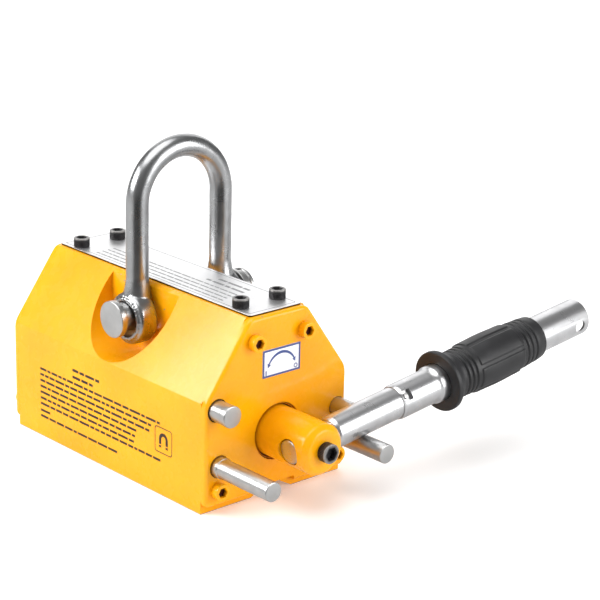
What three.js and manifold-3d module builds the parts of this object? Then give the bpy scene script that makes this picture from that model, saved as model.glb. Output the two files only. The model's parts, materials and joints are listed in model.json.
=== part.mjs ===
// A hand-switched permanent-magnet lifter of the 300 kg class, in its separate pieces.
// Millimetres, +Z up. The pole faces, which grip the load, lie in the plane z = 0.
// Inside the model, x = 0 and y = 0 is the middle of the housing, the rotor's axis runs
// along Y, and the handle end of the housing faces -Y. The handle is shown at OFF.

import * as THREE from 'three';
import { mergeVertices } from 'three/addons/utils/BufferGeometryUtils.js';
import Module from 'manifold-3d';

const wasm = await Module();
wasm.setup();

// ---------------------------------------------------------------- driving dimensions

const DEGREES = Math.PI / 180;
const CLEARANCE = 0.15; // radial, round every pin and screw in its hole
const TURNED_GAP = 0.3; // between pieces that rest on each other inside the turned rotor

const SIDES = { fine: 40, medium: 20, coarse: 12 };

const BODY = { length: 162, width: 92, height: 96, shoulder: 58, topWidth: 37 };
const PLATE = { thickness: 4, bottom: 4, notchHalfWidth: 12.5, notchTop: 7 };
const GROOVE = { halfWidth: 13.5, depth: 7.4 };
const POLE_GAP = 12;

const ROTOR = { z: 34, bore: 24.2, radius: 23.4, slab: 10, endCap: 5, magnets: 3 };
const HUB = { radius: 13.5, proud: 34.6, chamfer: 2.5, crossHole: 6.8, handleOffset: 22.1 };
const BUSH = { length: 10, bore: 13.65 };
const SEAL = { inner: 13.7, outer: 14.5, recessed: 0.8, length: 2.8 };

const STATOR = { bottom: 59.5, top: 69.5, magnets: 3 };
const NAMEPLATE = { width: 33.6, length: 156, thickness: 1 };
const LABEL = { width: 24.6, height: 14.4, thickness: 0.4, x: 1.5, z: 71 };

const M5 = { shank: 2.5, head: 4.25, headHeight: 5, socket: 2.3, socketDepth: 2.6 };
const M6 = { shank: 3, head: 5, headHeight: 5, socket: 2.9, socketDepth: 3 };
const M4_FLAT = { shank: 2, head: 3.9, headHeight: 2.3, length: 16 };
const PLATE_SCREW_LENGTH = 14;
const NAMEPLATE_SCREW_LENGTH = 12;
const HUB_SCREW_LENGTH = 23;

const STOP_PIN = {
  radius: 5, x: 37.5, z: 24.5, proud: 40, depth: 20, chamfer: 0.6,
  shoulder: 5.35, shoulderProud: 3.6, recess: 5.75, recessDepth: 1.6,
};
const SHORT_PIN = { radius: 5, x: 40, z: 37.5, proud: 11.8, depth: 16, chamfer: 0.6 };
const LOCK_PIN = {
  x: -38.9, z: 54, neck: 5.4, head: 5.55, headHeight: 4, proud: 11.2,
  collar: 6.4, collarLength: 3, travel: 8, depth: 20, ring: 6.1,
};

// The bow has side play on its pin, and its eyes are wider than the pin, so that it has
// dropped a little where it stands. The eyes reach further outward than the legs.
const SHACKLE = {
  bar: 5.85, halfSpan: 27.2, sidePlay: 1.2, drop: 1.5, bendZ: 136.4,
  eye: 13.5, bore: 9.2, eyeInward: 3.3, eyeOutward: 7.3, boss: 11.3, bossOutward: 8.5,
  flare: 7.6, flareBottom: 88, flareTop: 99,
};
const SHACKLE_PIN = {
  y: -1.2, z: 79.8, shank: 7.5, head: 9.5, headLength: 3.5, left: -42.6, right: 44.4,
  collar: 10.8, collarLength: 6.4, rollPin: 1.5,
};
const RECESS = { radius: 28.2, z: 86.4, wall: 19.8 };

const HANDLE = {
  tilt: 7.2 * DEGREES, length: 198.3, spigot: 6.6, spigotEnd: 12.4, shoulder: 13.9,
  rod: 8.5, rodEnd: 150, tubeStart: 58.4, neckTube: 9.3, tube: 10, tubeBore: 8.8,
  bead: 10.15, beadStart: 85.5, beadEnd: 88.5,
};
const SLOT = { start: 59.4, width: 5.8, angle: 37, pin: 1.5, stroke: 2, play: 0.3 };
const GRIP = { start: 90.5, end: 162, flange: 16.25, flangeLength: 3.6, groove: 0.9 };
const END_HOLE = { along: 191, radius: 3.5, angle: -5 };
const SPRING = { wire: 0.9, radius: 6.6, turns: 5, stepsPerTurn: 12 };
const PLUG = { start: 176, end: 184, radius: 8.5 };

// ------------------------------------------------------------- sizes that follow from them

const frontFace = -BODY.length / 2;
const poleEnd = BODY.length / 2 - PLATE.thickness;
const hubFront = frontFace - HUB.proud;
const handleY = frontFace - HUB.handleOffset;
const rotorEnd = poleEnd - BUSH.length - 1;
const rotorCore = rotorEnd - ROTOR.endCap;
const slotLength = 2 * SLOT.pin + SLOT.stroke + 2 * SLOT.play;
const guidePinAt = SLOT.start + SLOT.play + SLOT.pin;

// The overall box is centred on the origin in X and Y.
const handleTipX = HANDLE.length * Math.cos(HANDLE.tilt)
  + (HANDLE.tube - 0.5) * Math.sin(HANDLE.tilt);
const boxMiddleX = (handleTipX - BODY.width / 2) / 2;
const boxMiddleY = (M5.headHeight - STOP_PIN.proud) / 2;

const plateScrewSpots = [[-16.2, 84], [16.2, 84], [-38.5, 12.3], [38.5, 12.3]];
const nameplateScrewSpots = [[-11.9, -65.4], [11.9, -65.4], [-11.9, 65.4], [11.9, 65.4]];
const flangeScrewX = 18;

// ------------------------------------------------------------------------- materials

function material(color, roughness, metalness) {
  return new THREE.MeshStandardMaterial({ color, roughness, metalness });
}

const yellowPaint = material(0xf6a70c, 0.35, 0);
const brightSteel = material(0xb9bcc0, 0.3, 1);
const forgedSteel = material(0x8d9195, 0.4, 1);
const poleSteel = material(0x9a9a98, 0.45, 1);
const aluminium = material(0xc9ccce, 0.4, 1);
const bronze = material(0xa9793b, 0.4, 1);
const magnetNickel = material(0x9fa2a5, 0.35, 1);
const blackOxide = material(0x1b1b1d, 0.45, 0.6);
const blackRubber = material(0x222224, 0.7, 0);
const labelWhite = material(0xf2f4f8, 0.4, 0);

// -------------------------------------------------------------------- solids and helpers

// A solid for cutting and joining, from a closed three.js geometry.
function toSolid(geometry) {
  const bare = geometry.clone();
  bare.deleteAttribute('normal');
  bare.deleteAttribute('uv');
  const merged = mergeVertices(bare, 1e-4);
  const corners = [];
  for (let i = 0; i < merged.index.count; i += 3) {
    const [a, b, c] = [0, 1, 2].map((k) => merged.index.getX(i + k));
    if (a !== b && b !== c && c !== a) {
      corners.push(a, b, c);
    }
  }
  return new wasm.Manifold(new wasm.Mesh({
    numProp: 3,
    vertProperties: new Float32Array(merged.attributes.position.array),
    triVerts: new Uint32Array(corners),
  }));
}

function toGeometry(solid) {
  const mesh = solid.getMesh();
  const geometry = new THREE.BufferGeometry();
  geometry.setAttribute('position', new THREE.BufferAttribute(mesh.vertProperties, 3));
  geometry.setIndex(new THREE.BufferAttribute(mesh.triVerts, 1));
  geometry.computeVertexNormals();
  return geometry;
}

function cut(solid, ...tools) {
  return tools.reduce((rest, tool) => rest.subtract(tool), solid);
}

// Round bars along each axis. The middle is given by the two coordinates across the bar.
function barAlongY(radius, [x, z], [from, to], sides = SIDES.medium) {
  const bar = new THREE.CylinderGeometry(radius, radius, to - from, sides);
  return toSolid(bar.translate(x, (from + to) / 2, z));
}

function barAlongX(radius, [y, z], [from, to], sides = SIDES.medium) {
  const bar = new THREE.CylinderGeometry(radius, radius, to - from, sides);
  return toSolid(bar.rotateZ(Math.PI / 2).translate((from + to) / 2, y, z));
}

function barAlongZ(radius, [x, y], [from, to], sides = SIDES.medium) {
  const bar = new THREE.CylinderGeometry(radius, radius, to - from, sides);
  return toSolid(bar.rotateX(Math.PI / 2).translate(x, y, (from + to) / 2));
}

// An outline of [x, z] points, extruded along Y.
function prismAlongY(outline, [from, to]) {
  const shape = new THREE.Shape(outline.map(([x, z]) => new THREE.Vector2(x, z)));
  const prism = new THREE.ExtrudeGeometry(shape, { depth: to - from, bevelEnabled: false });
  return toSolid(prism.rotateX(Math.PI / 2).translate(0, to, 0));
}

function box([x0, x1], [y0, y1], [z0, z1]) {
  const block = new THREE.BoxGeometry(x1 - x0, y1 - y0, z1 - z0);
  return toSolid(block.translate((x0 + x1) / 2, (y0 + y1) / 2, (z0 + z1) / 2));
}

// A turned piece about the Y axis, from [radius, place along the axis] points.
function turned(profile, sides = SIDES.medium) {
  const points = profile.map(([radius, along]) => new THREE.Vector2(radius, along));
  return toSolid(new THREE.LatheGeometry(points, sides));
}

// The same about the X axis, along which the handle's pieces lie.
function turnedAlongX(profile, sides = SIDES.medium) {
  return turned(profile, sides).rotate([0, 0, -90]);
}

// A turned ring: its profile closes on itself.
function ring(inner, outer, [from, to], sides = SIDES.medium) {
  return turned([[inner, from], [outer, from], [outer, to], [inner, to], [inner, from]], sides);
}

function chamferedPin(radius, [from, to], chamfer, sides = SIDES.medium) {
  return turned([
    [0, from], [radius - chamfer, from], [radius, from + chamfer],
    [radius, to - chamfer], [radius - chamfer, to], [0, to],
  ], sides);
}

function roundSection(radius, sides) {
  const corners = Array.from({ length: sides }, (_, i) => {
    const angle = (2 * Math.PI * i) / sides;
    return new THREE.Vector2(radius * Math.cos(angle), radius * Math.sin(angle));
  });
  return new THREE.Shape(corners);
}

function piece(name, solid, look) {
  const mesh = new THREE.Mesh(toGeometry(solid), look);
  mesh.name = name;
  return mesh;
}

function moved(mesh, x, y, z) {
  mesh.position.set(x, y, z);
  return mesh;
}

// ------------------------------------------------------------------------- fasteners

// A socket-head cap screw whose head stands on y = 0 towards -Y and whose shank runs to +Y.
function capScrew(size, length) {
  const screw = turned([
    [0, -size.headHeight], [size.head - 0.4, -size.headHeight],
    [size.head, 0.4 - size.headHeight], [size.head, 0], [size.shank, 0],
    [size.shank, length], [0, length],
  ], SIDES.coarse);
  const corner = size.socket / Math.cos(30 * DEGREES);
  const socketTop = -size.headHeight - 1;
  const socketBottom = size.socketDepth - size.headHeight;
  return screw.subtract(barAlongY(corner, [0, 0], [socketTop, socketBottom], 6));
}

// A countersunk screw whose head ends flush with y = 0 and whose shank runs to +Y.
function flatScrew(size, grow = 0) {
  return turned([
    [0, -grow], [size.head + grow, -grow], [size.shank + grow, size.headHeight],
    [size.shank + grow, size.length + grow], [0, size.length + grow],
  ], SIDES.coarse);
}

function screwHoles(spots, radius, reach) {
  return spots.map((spot) => barAlongY(radius + CLEARANCE, spot, reach, SIDES.coarse));
}

// --------------------------------------------------------------------------- housing

function insideSide(side, x) {
  return side * x > 0;
}

// One magnetic pole of the housing: side is -1 for the left pole and +1 for the right pole.
function pole(side) {
  const innerX = POLE_GAP / 2;
  const grooveAtInner = GROOVE.depth * (1 - innerX / GROOVE.halfWidth);
  const outline = [
    [GROOVE.halfWidth, 0], [BODY.width / 2, 0], [BODY.width / 2, BODY.shoulder],
    [BODY.topWidth / 2, BODY.height], [innerX, BODY.height], [innerX, grooveAtInner],
  ].map(([x, z]) => [side * x, z]);
  const block = prismAlongY(outline, [-poleEnd, poleEnd]);

  const rotorBore = barAlongY(ROTOR.bore, [0, ROTOR.z], [-poleEnd - 1, poleEnd + 1], SIDES.fine);
  const recessReach = side < 0 ? [-BODY.width, -RECESS.wall] : [RECESS.wall, BODY.width];
  const recess = barAlongX(RECESS.radius, [0, RECESS.z], recessReach, SIDES.fine);
  const ownPlateSpots = plateScrewSpots.filter(([x]) => insideSide(side, x));
  const screwDepth = PLATE_SCREW_LENGTH - PLATE.thickness + 1;
  const frontHoles = screwHoles(ownPlateSpots, M5.shank, [-poleEnd - 1, screwDepth - poleEnd]);
  const rearHoles = screwHoles(ownPlateSpots, M5.shank, [poleEnd - screwDepth, poleEnd + 1]);
  const topHoles = nameplateScrewSpots.filter(([x]) => insideSide(side, x)).map((spot) => (
    barAlongZ(M5.shank + CLEARANCE, spot, [BODY.height - NAMEPLATE_SCREW_LENGTH,
      BODY.height + 1], SIDES.coarse)
  ));
  return cut(
    block, rotorBore, recess, shacklePinHole(), stopPinHole(side), ...sidePinHoles(side),
    ...frontHoles, ...rearHoles, ...topHoles,
  );
}

function shacklePinHole() {
  const { y, z, shank } = SHACKLE_PIN;
  return barAlongX(shank + CLEARANCE, [y, z], [-BODY.width / 2, BODY.width / 2]);
}

function stopPinHole(side) {
  const reach = [frontFace - 1, STOP_PIN.depth - poleEnd + 0.5];
  return barAlongY(STOP_PIN.radius + CLEARANCE, [side * STOP_PIN.x, STOP_PIN.z], reach);
}

// Behind the front plate: the lock pin's guide bore and collar space on the left,
// and the hole for the short pin on the right.
function sidePinHoles(side) {
  if (side > 0) {
    const reach = [frontFace - 1, SHORT_PIN.depth - poleEnd + 0.5];
    return [barAlongY(SHORT_PIN.radius + CLEARANCE, [SHORT_PIN.x, SHORT_PIN.z], reach)];
  }
  const spot = [LOCK_PIN.x, LOCK_PIN.z];
  const collarSpace = LOCK_PIN.travel + LOCK_PIN.collarLength + 1;
  return [
    barAlongY(LOCK_PIN.neck + CLEARANCE, spot, [-poleEnd - 1, LOCK_PIN.depth - poleEnd + 1]),
    barAlongY(LOCK_PIN.collar + CLEARANCE, spot, [-poleEnd - 1, collarSpace - poleEnd]),
  ];
}

// The non-magnetic strip that closes the gap between the poles under the rotor.
function bottomSeparator() {
  const x = POLE_GAP / 2;
  const flank = GROOVE.depth * (1 - x / GROOVE.halfWidth);
  const top = ROTOR.z - ROTOR.bore - 0.2;
  return prismAlongY([[-x, flank], [0, GROOVE.depth], [x, flank], [x, top], [-x, top]],
    [-poleEnd, poleEnd]);
}

// The non-magnetic bar that joins the poles at the top, with the shackle pin through it.
function topSpacer() {
  const x = POLE_GAP / 2;
  const bar = box([-x, x], [-poleEnd, poleEnd], [STATOR.top + 0.5, BODY.height]);
  return cut(bar, shacklePinHole());
}

function statorMagnet(index) {
  const length = (2 * poleEnd) / STATOR.magnets;
  const start = -poleEnd + index * length;
  const x = POLE_GAP / 2;
  return box([-x, x], [start, start + length], [STATOR.bottom, STATOR.top]);
}

function endPlateOutline() {
  const x = BODY.width / 2;
  return [
    [-x, PLATE.bottom], [-PLATE.notchHalfWidth, PLATE.bottom],
    [1 - PLATE.notchHalfWidth, PLATE.notchTop], [PLATE.notchHalfWidth - 1, PLATE.notchTop],
    [PLATE.notchHalfWidth, PLATE.bottom], [x, PLATE.bottom], [x, BODY.shoulder],
    [BODY.topWidth / 2, BODY.height], [-BODY.topWidth / 2, BODY.height], [-x, BODY.shoulder],
  ];
}

function frontEndPlate() {
  const through = [frontFace - 1, 1 - poleEnd];
  const stopRecess = [frontFace - 1, frontFace + STOP_PIN.recessDepth];
  const ringRecess = [frontFace - 1, frontFace + 1.6];
  const stops = [-1, 1].map((side) => [side * STOP_PIN.x, STOP_PIN.z]);
  return cut(
    prismAlongY(endPlateOutline(), [frontFace, -poleEnd]),
    barAlongY(SEAL.outer + CLEARANCE, [0, ROTOR.z], through, SIDES.fine),
    ...screwHoles(plateScrewSpots, M5.shank, through),
    ...stops.map((spot) => barAlongY(STOP_PIN.radius + CLEARANCE, spot, through)),
    ...stops.map((spot) => barAlongY(STOP_PIN.recess, spot, stopRecess)),
    barAlongY(SHORT_PIN.radius + CLEARANCE, [SHORT_PIN.x, SHORT_PIN.z], through),
    barAlongY(LOCK_PIN.neck + CLEARANCE, [LOCK_PIN.x, LOCK_PIN.z], through),
    barAlongY(LOCK_PIN.ring + CLEARANCE, [LOCK_PIN.x, LOCK_PIN.z], ringRecess),
  );
}

function rearEndPlate() {
  return cut(
    prismAlongY(endPlateOutline(), [poleEnd, -frontFace]),
    ...screwHoles(plateScrewSpots, M5.shank, [poleEnd - 1, 1 - frontFace]),
  );
}

function nameplate() {
  const [x, y] = [NAMEPLATE.width / 2, NAMEPLATE.length / 2];
  const reach = [BODY.height, BODY.height + NAMEPLATE.thickness];
  const holes = nameplateScrewSpots.map((spot) => (
    barAlongZ(M5.shank + CLEARANCE, spot, [reach[0] - 1, reach[1] + 1], SIDES.coarse)
  ));
  return cut(box([-x, x], [-y, y], reach), ...holes);
}

function labelPlate() {
  const [x, z] = [LABEL.width / 2, LABEL.height / 2];
  return box([LABEL.x - x, LABEL.x + x], [frontFace - LABEL.thickness, frontFace],
    [LABEL.z - z, LABEL.z + z]);
}

function addHousing(group) {
  group.add(
    piece('left_pole', pole(-1), yellowPaint),
    piece('right_pole', pole(1), yellowPaint),
    piece('bottom_separator', bottomSeparator(), bronze),
    piece('top_spacer', topSpacer(), aluminium),
    piece('front_end_plate', frontEndPlate(), yellowPaint),
    piece('rear_end_plate', rearEndPlate(), yellowPaint),
    piece('nameplate', nameplate(), aluminium),
    piece('off_on_label', labelPlate(), labelWhite),
  );
  for (let index = 0; index < STATOR.magnets; index += 1) {
    group.add(piece(`stator_magnet_${index + 1}`, statorMagnet(index), magnetNickel));
  }
}

function addHousingScrews(group) {
  const plateScrew = capScrew(M5, PLATE_SCREW_LENGTH);
  const topScrew = capScrew(M5, NAMEPLATE_SCREW_LENGTH);
  plateScrewSpots.forEach(([x, z], index) => {
    const front = piece(`front_plate_screw_${index + 1}`, plateScrew, yellowPaint);
    group.add(moved(front, x, frontFace, z));
    const rear = piece(`rear_plate_screw_${index + 1}`, plateScrew, yellowPaint);
    rear.rotation.z = Math.PI;
    group.add(moved(rear, x, -frontFace, z));
  });
  nameplateScrewSpots.forEach(([x, y], index) => {
    const screw = piece(`nameplate_screw_${index + 1}`, topScrew, blackOxide);
    screw.rotation.x = -Math.PI / 2;
    group.add(moved(screw, x, y, BODY.height + NAMEPLATE.thickness));
  });
}

// ------------------------------------------------------------------ pins on the front plate

function addStopPins(group) {
  const { radius, shoulder, chamfer } = STOP_PIN;
  const [front, rear] = [frontFace - STOP_PIN.proud, STOP_PIN.depth - poleEnd];
  const pin = turned([
    [0, front], [radius - chamfer, front], [radius, front + chamfer],
    [radius, frontFace - STOP_PIN.shoulderProud], [shoulder, frontFace - STOP_PIN.shoulderProud],
    [shoulder, frontFace + STOP_PIN.recessDepth - CLEARANCE],
    [radius, frontFace + STOP_PIN.recessDepth - CLEARANCE], [radius, rear], [0, rear],
  ]);
  for (const [name, side] of [['left_stop_pin', -1], ['right_stop_pin', 1]]) {
    group.add(moved(piece(name, pin, brightSteel), side * STOP_PIN.x, 0, STOP_PIN.z));
  }
  const shortReach = [frontFace - SHORT_PIN.proud, SHORT_PIN.depth - poleEnd];
  const shortPin = chamferedPin(SHORT_PIN.radius, shortReach, SHORT_PIN.chamfer);
  group.add(moved(piece('short_pin', shortPin, brightSteel), SHORT_PIN.x, 0, SHORT_PIN.z));
}

// The sliding pin that is pulled out when the handle is at ON. Its collar stops it inside.
function lockPin() {
  const front = frontFace - LOCK_PIN.proud;
  const collarEnd = LOCK_PIN.travel + LOCK_PIN.collarLength - poleEnd;
  return turned([
    [0, front], [LOCK_PIN.head - 0.5, front], [LOCK_PIN.head, front + 0.5],
    [LOCK_PIN.head, front + LOCK_PIN.headHeight], [LOCK_PIN.neck, front + LOCK_PIN.headHeight],
    [LOCK_PIN.neck, collarEnd - LOCK_PIN.collarLength],
    [LOCK_PIN.collar, collarEnd - LOCK_PIN.collarLength], [LOCK_PIN.collar, collarEnd],
    [LOCK_PIN.neck, collarEnd], [LOCK_PIN.neck, LOCK_PIN.depth - poleEnd],
    [0, LOCK_PIN.depth - poleEnd],
  ]);
}

function addLockPin(group) {
  const rubber = ring(LOCK_PIN.neck + CLEARANCE, LOCK_PIN.ring, [frontFace + 0.2, frontFace + 1.6]);
  group.add(
    moved(piece('lock_pin', lockPin(), brightSteel), LOCK_PIN.x, 0, LOCK_PIN.z),
    moved(piece('lock_pin_ring', rubber, blackRubber), LOCK_PIN.x, 0, LOCK_PIN.z),
  );
}

// ------------------------------------------------------------------- rotor and its bearings

function addBearings(group) {
  const outer = ROTOR.bore - CLEARANCE;
  const frontBush = ring(BUSH.bore, outer, [-poleEnd, BUSH.length - poleEnd], SIDES.fine);
  const rearBush = ring(BUSH.bore, outer, [poleEnd - BUSH.length, poleEnd], SIDES.fine);
  const sealFront = frontFace + SEAL.recessed;
  const seal = ring(SEAL.inner, SEAL.outer, [sealFront, sealFront + SEAL.length], SIDES.fine);
  group.add(
    moved(piece('front_bush', frontBush, bronze), 0, 0, ROTOR.z),
    moved(piece('rear_bush', rearBush, bronze), 0, 0, ROTOR.z),
    moved(piece('hub_seal', seal, blackRubber), 0, 0, ROTOR.z),
  );
}

// Steel half of the rotor, outside the magnet slab: side -1 or +1 along the handle's line.
function rotorPole(side) {
  const flat = ROTOR.slab / 2 + TURNED_GAP / 2;
  const reach = [-rotorCore, rotorCore];
  const slab = box([-flat, flat], [-rotorEnd, rotorEnd], [-ROTOR.bore, ROTOR.bore]);
  const far = side > 0 ? [-ROTOR.bore, 0] : [0, ROTOR.bore];
  const otherHalf = box(far, [-rotorEnd, rotorEnd], [-ROTOR.bore, ROTOR.bore]);
  const screws = [-1, 1].map((end) => (
    barAlongY(M4_FLAT.shank + CLEARANCE, [side * flangeScrewX, 0],
      end < 0 ? [-rotorEnd, M4_FLAT.length - rotorEnd + 1]
        : [rotorEnd - M4_FLAT.length - 1, rotorEnd], SIDES.coarse)
  ));
  return cut(barAlongY(ROTOR.radius, [0, 0], reach, SIDES.fine), slab, otherHalf, ...screws);
}

function rotorMagnet(index) {
  const length = (2 * rotorCore) / ROTOR.magnets;
  const start = -rotorCore + index * length;
  const x = ROTOR.slab / 2;
  const z = ROTOR.radius - 5;
  return box([-x, x], [start, start + length], [-z, z]);
}

// The strips that close the magnet slab along the rotor's surface.
function rotorStrip(side) {
  const x = ROTOR.slab / 2;
  const inner = ROTOR.radius - 5 + TURNED_GAP;
  const blank = box([-x, x], [-rotorCore, rotorCore], side > 0 ? [inner, ROTOR.bore]
    : [-ROTOR.bore, -inner]);
  const rotorRound = barAlongY(ROTOR.radius, [0, 0], [-rotorEnd, rotorEnd], SIDES.fine);
  return blank.intersect(rotorRound);
}

function countersinks(end) {
  return [-1, 1].map((side) => {
    const sink = flatScrew(M4_FLAT, CLEARANCE);
    const facing = end < 0 ? sink : sink.rotate([0, 0, 180]);
    return facing.translate([side * flangeScrewX, end * rotorEnd, 0]);
  });
}

// The turned front shaft: flange against the rotor, journal in the bush, and the hub that
// stands out of the front plate with a cross hole for the handle and a tapped hole.
function frontHub() {
  const flange = ROTOR.radius - 0.6;
  const body = turned([
    [0, hubFront], [HUB.radius - HUB.chamfer, hubFront],
    [HUB.radius, hubFront + HUB.chamfer], [HUB.radius, -rotorEnd],
    [flange, -rotorEnd], [flange, -rotorCore], [0, -rotorCore],
  ], SIDES.fine);
  const crossHole = barAlongX(HUB.crossHole, [handleY, 0], [-HUB.radius - 1, HUB.radius + 1]);
  const tapped = barAlongY(M6.shank + CLEARANCE, [0, 0], [hubFront - 1,
    hubFront + HUB_SCREW_LENGTH + 1], SIDES.coarse);
  return cut(body, crossHole, tapped, ...countersinks(-1));
}

function rearJournal() {
  const flange = ROTOR.radius - 0.6;
  const end = poleEnd - 0.5;
  const body = turned([
    [0, rotorCore], [flange, rotorCore], [flange, rotorEnd], [HUB.radius, rotorEnd],
    [HUB.radius, end - 1], [HUB.radius - 1, end], [0, end],
  ], SIDES.fine);
  return cut(body, ...countersinks(1));
}

function addRotor(group) {
  group.add(
    piece('rotor_pole_left', rotorPole(-1), poleSteel),
    piece('rotor_pole_right', rotorPole(1), poleSteel),
    piece('rotor_strip_upper', rotorStrip(1), bronze),
    piece('rotor_strip_lower', rotorStrip(-1), bronze),
    piece('front_hub', frontHub(), yellowPaint),
    piece('rear_journal', rearJournal(), poleSteel),
    moved(piece('hub_screw', capScrew(M6, HUB_SCREW_LENGTH), blackOxide), 0, hubFront, 0),
  );
  for (let index = 0; index < ROTOR.magnets; index += 1) {
    group.add(piece(`rotor_magnet_${index + 1}`, rotorMagnet(index), magnetNickel));
  }
  for (const [end, endName] of [[-1, 'front'], [1, 'rear']]) {
    for (const [side, sideName] of [[-1, 'left'], [1, 'right']]) {
      const name = `${endName}_flange_screw_${sideName}`;
      const screw = piece(name, flatScrew(M4_FLAT), blackOxide);
      screw.rotation.z = end < 0 ? 0 : Math.PI;
      group.add(moved(screw, side * flangeScrewX, end * rotorEnd, 0));
    }
  }
}

// ---------------------------------------------------------------------------- handle

// The solid rod: a spigot clamped in the hub, a shoulder, and the bar that the tube slides on.
function handleRod() {
  const rod = turnedAlongX([
    [0, -HANDLE.spigotEnd], [HANDLE.spigot - 0.6, -HANDLE.spigotEnd],
    [HANDLE.spigot, 0.6 - HANDLE.spigotEnd], [HANDLE.spigot, HANDLE.shoulder],
    [HANDLE.rod - 0.9, HANDLE.shoulder + 0.2], [HANDLE.rod, HANDLE.shoulder + 2],
    [HANDLE.rod, HANDLE.rodEnd - 1], [HANDLE.rod - 1, HANDLE.rodEnd], [0, HANDLE.rodEnd],
  ]);
  const screwHole = barAlongY(M6.shank + TURNED_GAP, [0, 0], [-HANDLE.rod, HANDLE.rod],
    SIDES.coarse);
  const pinHole = barAlongY(SLOT.pin + CLEARANCE, [guidePinAt, 0], [-HANDLE.rod - 1, -3],
    SIDES.coarse);
  return cut(rod, screwHole, pinHole.rotate([-SLOT.angle, 0, 0]));
}

// The short pin in the rod that the tube's slot runs on.
function guidePin() {
  const pin = barAlongY(SLOT.pin, [guidePinAt, 0], [-HANDLE.neckTube - 0.2, -3.3], SIDES.coarse);
  return pin.rotate([-SLOT.angle, 0, 0]);
}

function slotCut() {
  const half = SLOT.width / 2;
  const slot = box([SLOT.start, SLOT.start + slotLength], [-HANDLE.tube - 1, -6], [-half, half]);
  return slot.rotate([-SLOT.angle, 0, 0]);
}

// The cross hole through both walls near the tube's outer end.
function endHole() {
  const reach = [-HANDLE.tube - 1, HANDLE.tube + 1];
  const hole = barAlongY(END_HOLE.radius, [END_HOLE.along, 0], reach, SIDES.coarse);
  return hole.rotate([-END_HOLE.angle, 0, 0]);
}

// The sliding tube: a slimmer neck with the slot, a rolled bead, and the gripped length.
function handleTube() {
  const start = HANDLE.tubeStart;
  const tube = turnedAlongX([
    [HANDLE.tubeBore, start], [HANDLE.neckTube - 0.3, start], [HANDLE.neckTube, start + 0.4],
    [HANDLE.neckTube, HANDLE.beadStart - 2], [HANDLE.bead, HANDLE.beadStart],
    [HANDLE.bead, HANDLE.beadEnd], [HANDLE.tube, HANDLE.beadEnd + 0.5],
    [HANDLE.tube, HANDLE.length - 0.5], [HANDLE.tube - 0.5, HANDLE.length],
    [HANDLE.tubeBore, HANDLE.length], [HANDLE.tubeBore, start],
  ]);
  return cut(tube, slotCut(), endHole());
}

// Radii of the rubber grip along its length, hand flange first, with a ring-groove band
// before and after the swelling middle.
function gripProfile() {
  const { start, end, flange, flangeLength, groove } = GRIP;
  const bore = HANDLE.tube + TURNED_GAP;
  const profile = [[bore, start], [flange - 1.2, start], [flange, start + 1.2],
    [flange, start + flangeLength - 1], [flange - 1, start + flangeLength], [13.2, start + 5.2]];
  const frontBand = [[12.7, start + 8.5], [12.9, start + 19.5]];
  const rearBand = [[12.9, end - 17], [12.3, end - 6]];
  for (const [[r0, s0], [r1, s1]] of [frontBand, rearBand]) {
    const pitch = (s1 - s0) / 3;
    for (let i = 0; i < 3; i += 1) {
      const radius = r0 + ((r1 - r0) * i) / 3;
      const from = s0 + i * pitch;
      profile.push([radius, from], [radius - groove, from + 0.9], [radius, from + 1.8]);
    }
    if (s1 < end - 20) {
      profile.push([13.7, start + 26], [14, (start + end) / 2], [13.7, end - 22]);
    }
  }
  profile.push([12.2, end - 3], [11.8, end - 0.8], [11.2, end], [bore, end], [bore, start]);
  return profile;
}

class Helix extends THREE.Curve {
  constructor(radius, start, end, turns) {
    super();
    Object.assign(this, { radius, start, end, turns });
  }

  getPoint(t, target = new THREE.Vector3()) {
    const angle = 2 * Math.PI * this.turns * t;
    const along = this.start + (this.end - this.start) * t;
    return target.set(along, this.radius * Math.cos(angle), this.radius * Math.sin(angle));
  }
}

function handleSpring() {
  const end = SPRING.wire + 0.3;
  const path = new Helix(SPRING.radius, HANDLE.rodEnd + end, PLUG.start - end, SPRING.turns);
  return toSolid(new THREE.ExtrudeGeometry(roundSection(SPRING.wire, 6), {
    steps: SPRING.turns * SPRING.stepsPerTurn, extrudePath: path,
  }));
}

// The plug pressed into the tube as the spring's seat.
function endPlug() {
  const { start, end, radius } = PLUG;
  return turnedAlongX([
    [0, start], [radius - 0.5, start], [radius, start + 0.5],
    [radius, end - 0.8], [radius - 0.8, end], [0, end],
  ]);
}

function addHandle(group) {
  const handle = new THREE.Group();
  handle.position.y = handleY;
  handle.add(
    piece('handle_rod', handleRod(), brightSteel),
    piece('guide_pin', guidePin(), brightSteel),
    piece('handle_tube', handleTube(), brightSteel),
    piece('handle_spring', handleSpring(), forgedSteel),
    piece('handle_grip', turnedAlongX(gripProfile(), 24), blackRubber),
    piece('handle_end_plug', endPlug(), blackRubber),
  );
  group.add(handle);
}

// --------------------------------------------------------------------------- shackle

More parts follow.
